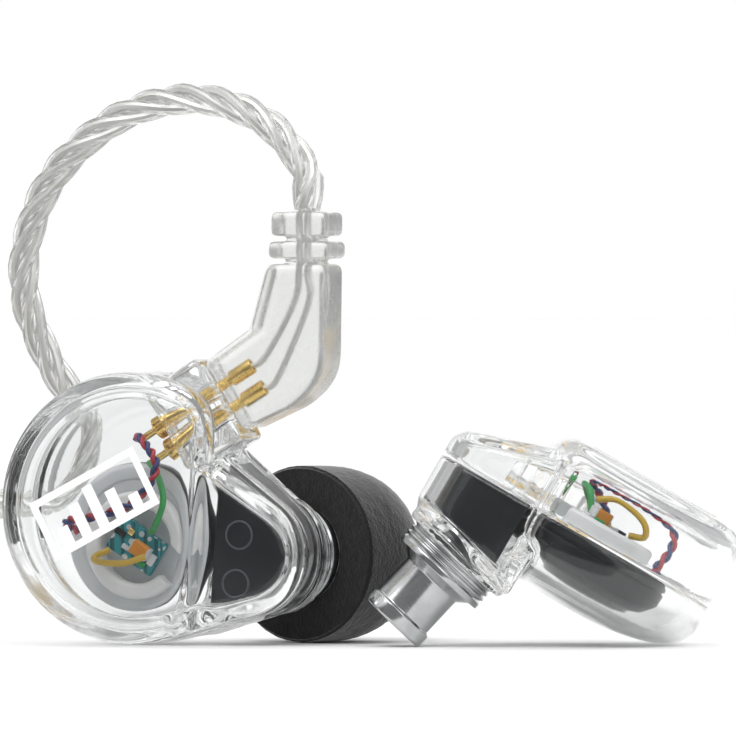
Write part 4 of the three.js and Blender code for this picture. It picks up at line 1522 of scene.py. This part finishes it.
    def build_jack(self) -> list[bpy.types.Object]:
        """Model and place the stereo jack: contact, knurled barrel and strain relief."""
        contact = [(0, 0), (0.7, 0.1), (1.3, 1.1), (1.1, 2.0), (1.75, 2.8), (1.75, 4.2), (1.63, 4.3)]
        contact += [(1.63, 4.7), (1.75, 4.8), (1.75, 7.4), (1.63, 7.5), (1.63, 7.9), (1.75, 8.0)]
        contact += [(1.75, 13.9), (0, 13.9)]
        barrel = [(0, 14), (2.6, 14), (2.6, 15), (3.1, 15.2), (3.1, 18), (2.9, 18.1), (2.9, 18.4)]
        barrel += [(3.1, 18.5), (3.1, 24.5), (2.9, 24.6), (2.9, 24.9), (3.1, 25), (3.1, 27.6)]
        barrel += [(2.7, 28), (0, 28)]
        relief = [(0, 28.1), (2.2, 28.1)]
        for i in range(3):
            h, r = 29.1 + i * 1.9, 2.1 - i * 0.25
            relief += [(r, h), (r - 0.35, h + 0.2), (r - 0.35, h + 0.8), (r - 0.1, h + 1)]
        relief += [(1.35, 35.1), (0, 35.1)]
        pole = turned("contact", softened(contact, 0.12), 64)
        body = turned(
            "barrel", softened(self.fill_in(barrel), 0.12), 96,
            knurl=lambda h: 0.09 if 18.6 < h < 24.4 else 0.0,
        )
        sleeve = turned("relief", softened(relief, 0.15), 64)
        masters = (
            (pole, "jack_pole", "gold", "jack_contact", (Look.GOLD, Look.ABS)),
            (body, "jack_barrel", "steel", "jack_body", (Look.STEEL,)),
            (sleeve, "jack_sleeve", "silicone_black", "jack_relief", (Look.SILICONE,)),
        )
        place = Matrix.Translation((self.jack_x, self.jack_front, self.jack_radius + 0.05))
        out = []
        for master, name, slot, node, looks in masters:
            dress(master, *looks)
            if node == "jack_contact":
                paint_faces(master, 1, lambda centre, normal: hypot(centre.x, centre.y) < 1.7
                            and (4.25 < centre.z < 4.75 or 7.45 < centre.z < 7.95))
            master.data.transform(place @ Matrix.Rotation(-pi / 2, 4, "X"))
            out.append(install(master, name, TO_FRAME, Body.CABLE, slot, [node]))
            bpy.data.objects.remove(master)
        return out

    @staticmethod
    def fill_in(profile: Sequence[Point]) -> list[Point]:
        """Add points on the knurled stretch so that its grooves end square."""
        out = []
        for p, q in zip(profile, profile[1:]):
            out.append(p)
            if abs(q[1] - p[1]) > 5:
                out += [(p[0], p[1] + 0.3), (q[0], q[1] - 0.3)]
        return [*out, profile[-1]]

    def build(self) -> None:
        """Model and place the whole cable."""
        self.build_plug(Side.LEFT, STAND.left(roll=False))
        lead_x, lead_y, _ = RIGHT_LEAD_ROUTE[-1]
        place = (lead_x + 0.3 + self.plug.neck_top, lead_y - self.plug.neck_x, 11.4)
        loose = self.build_plug(Side.RIGHT, pose_matrix((0, 1, 0), (-1, 0, 0), (0, 0, 1), place))
        split = self.build_split()
        jack = self.build_jack()
        nodes = ["ear_loop_cable", "cable_coil"]
        left, path = self.bundle("left_branch", self.left_route(), self.loop_end, nodes)
        self.declare(left, path)
        right, path = self.bundle("right_branch", self.right_route(), -self.taper, ["right_lead"])
        self.declare(right, path)
        trunk, path = self.bundle("trunk", self.trunk_route(), -self.taper, ["jack_lead"])
        self.declare(trunk, path)


# ---------------------------------------------------------------- studio
@dataclass(frozen=True)
class Card:
    """A grey card that only shows in gloss and, where it says so, through clear plastic.

    Places and sizes are in metres, turn and lean in degrees; a lean of 0 lies flat.
    """

    name: str
    place: tuple[float, float, float]
    size: tuple[float, float]
    turn: float
    grey: float
    through: bool = True
    lean: float = 90


CARDS = (
    # Beside and behind the set: they draw the grey edges of the clear pieces.
    Card("card_left", (-0.32, 0.12, 0.1), (0.5, 0.5), 70, 0.5),
    Card("card_right", (0.34, 0.12, 0.1), (0.5, 0.5), -70, 0.5),
    Card("card_back_left", (-0.29, 0.5, 0.15), (0.32, 0.9), 25, 0.36),
    Card("card_back_right", (0.29, 0.5, 0.15), (0.32, 0.9), -25, 0.36),
    Card("card_back_top", (0, 0.5, 0.42), (0.4, 0.36), 0, 0.45),
    # In front: they keep the dark pieces dark and put bands on the metal.
    Card("card_front", (-0.7, -1.0, 0.3), (1.9, 1.6), 0, 0.26),
    Card("card_flat", (-0.3, -0.505, 0.0005), (1.6, 0.95), 0, 0.24, lean=0),
    Card("card_front_left", (-0.5, -0.35, 0.1), (0.3, 0.6), -55, 0.18, through=False),
    Card("card_front_right", (0.45, -0.55, 0.1), (0.2, 0.6), 40, 0.12, through=False),
)


@dataclass
class Studio:
    """Pale floor, soft lights, grey cards beside the set, and the camera."""

    distance: float = 0.8
    aim: tuple[float, float, float] = (-0.00026, -0.00217, 0.021)
    elevation: float = radians(0.5)
    lens: float = 516.5
    # Light crosses up to a dozen clear walls, some of them by total reflection.
    bounces: int = 40

    def place_camera(self) -> None:
        """Set the camera level with the set and in front of it."""
        data = bpy.data.cameras.new("camera")
        data.lens = self.lens
        data.sensor_width = 36
        data.clip_start = 0.01
        data.clip_end = 50
        camera = bpy.data.objects.new("camera", data)
        bpy.context.scene.collection.objects.link(camera)
        back = Vector((0, -cos(self.elevation), sin(self.elevation))) * self.distance
        camera.location = Vector(self.aim) + back
        camera.rotation_euler = Euler((pi / 2 - self.elevation, 0, 0))
        bpy.context.scene.camera = camera

    def lay_floor(self) -> None:
        """Lay a wide pale floor."""
        deselect()
        bpy.ops.mesh.primitive_circle_add(vertices=96, radius=6, fill_type="NGON")
        floor = bpy.context.object
        floor.name = "floor"
        bpy.ops.object.mode_set(mode="EDIT")
        bpy.ops.mesh.inset(thickness=3)
        bpy.ops.object.mode_set(mode="OBJECT")
        dress(floor, Look.PAPER)

    def stand_card(self, card: Card) -> None:
        """Stand one card in its place."""
        deselect()
        bpy.ops.mesh.primitive_plane_add(size=1)
        sheet = bpy.context.object
        sheet.name = card.name
        sheet.data.transform(
            Matrix.Translation(card.place) @ Matrix.Rotation(radians(card.turn), 4, "Z")
            @ Matrix.Rotation(radians(card.lean), 4, "X") @ Matrix.Diagonal((*card.size, 1, 1))
        )
        material = bpy.data.materials.new(card.name)
        material.use_nodes = True
        material.node_tree.nodes.clear()
        tone = (card.grey, card.grey, card.grey * 1.01, 1)
        glow = add_node(material, "ShaderNodeEmission", inputs={"Color": tone, "Strength": 1.0})
        add_node(material, "ShaderNodeOutputMaterial", inputs={"Surface": glow.outputs[0]})
        sheet.data.materials.append(material)
        sheet.visible_camera = False
        sheet.visible_diffuse = False
        sheet.visible_shadow = False
        sheet.visible_transmission = card.through

    def hang_light(self, name: str, place: Point, size: float, power: float) -> None:
        """Hang one square soft light that faces the set."""
        data = bpy.data.lights.new(name, "AREA")
        data.size = size
        data.energy = power
        light = bpy.data.objects.new(name, data)
        bpy.context.scene.collection.objects.link(light)
        light.location = place
        aim = Vector(self.aim) - Vector(place)
        light.rotation_euler = aim.to_track_quat("-Z", "Y").to_euler()

    def build(self) -> None:
        """Set up the whole studio."""
        world = bpy.context.scene.world or bpy.data.worlds.new("studio")
        bpy.context.scene.world = world
        world.use_nodes = True
        background = next(n for n in world.node_tree.nodes if n.type == "BACKGROUND")
        background.inputs["Color"].default_value = (1, 1, 1, 1)
        background.inputs["Strength"].default_value = 1.0
        bpy.context.scene.view_settings.view_transform = "Standard"
        for kind in ("max_bounces", "transmission_bounces", "glossy_bounces"):
            setattr(bpy.context.scene.cycles, kind, self.bounces)
        self.lay_floor()
        for card in CARDS:
            self.stand_card(card)
        self.hang_light("key", (-0.25, -0.35, 0.75), 0.5, 2.2)
        self.hang_light("fill", (0.45, -0.5, 0.4), 0.4, 0.6)


def main() -> None:
    """Build every sub-assembly in order."""
    logging.basicConfig(level=logging.INFO, format="%(message)s")
    shell, socket = Shell(), Socket()
    studio = Studio()
    studio.place_camera()
    Cable(Plug(socket)).build()
    Earpiece(shell, socket).build()
    EarTip(shell).build()
    studio.build()


if __name__ == "__main__":
    main()
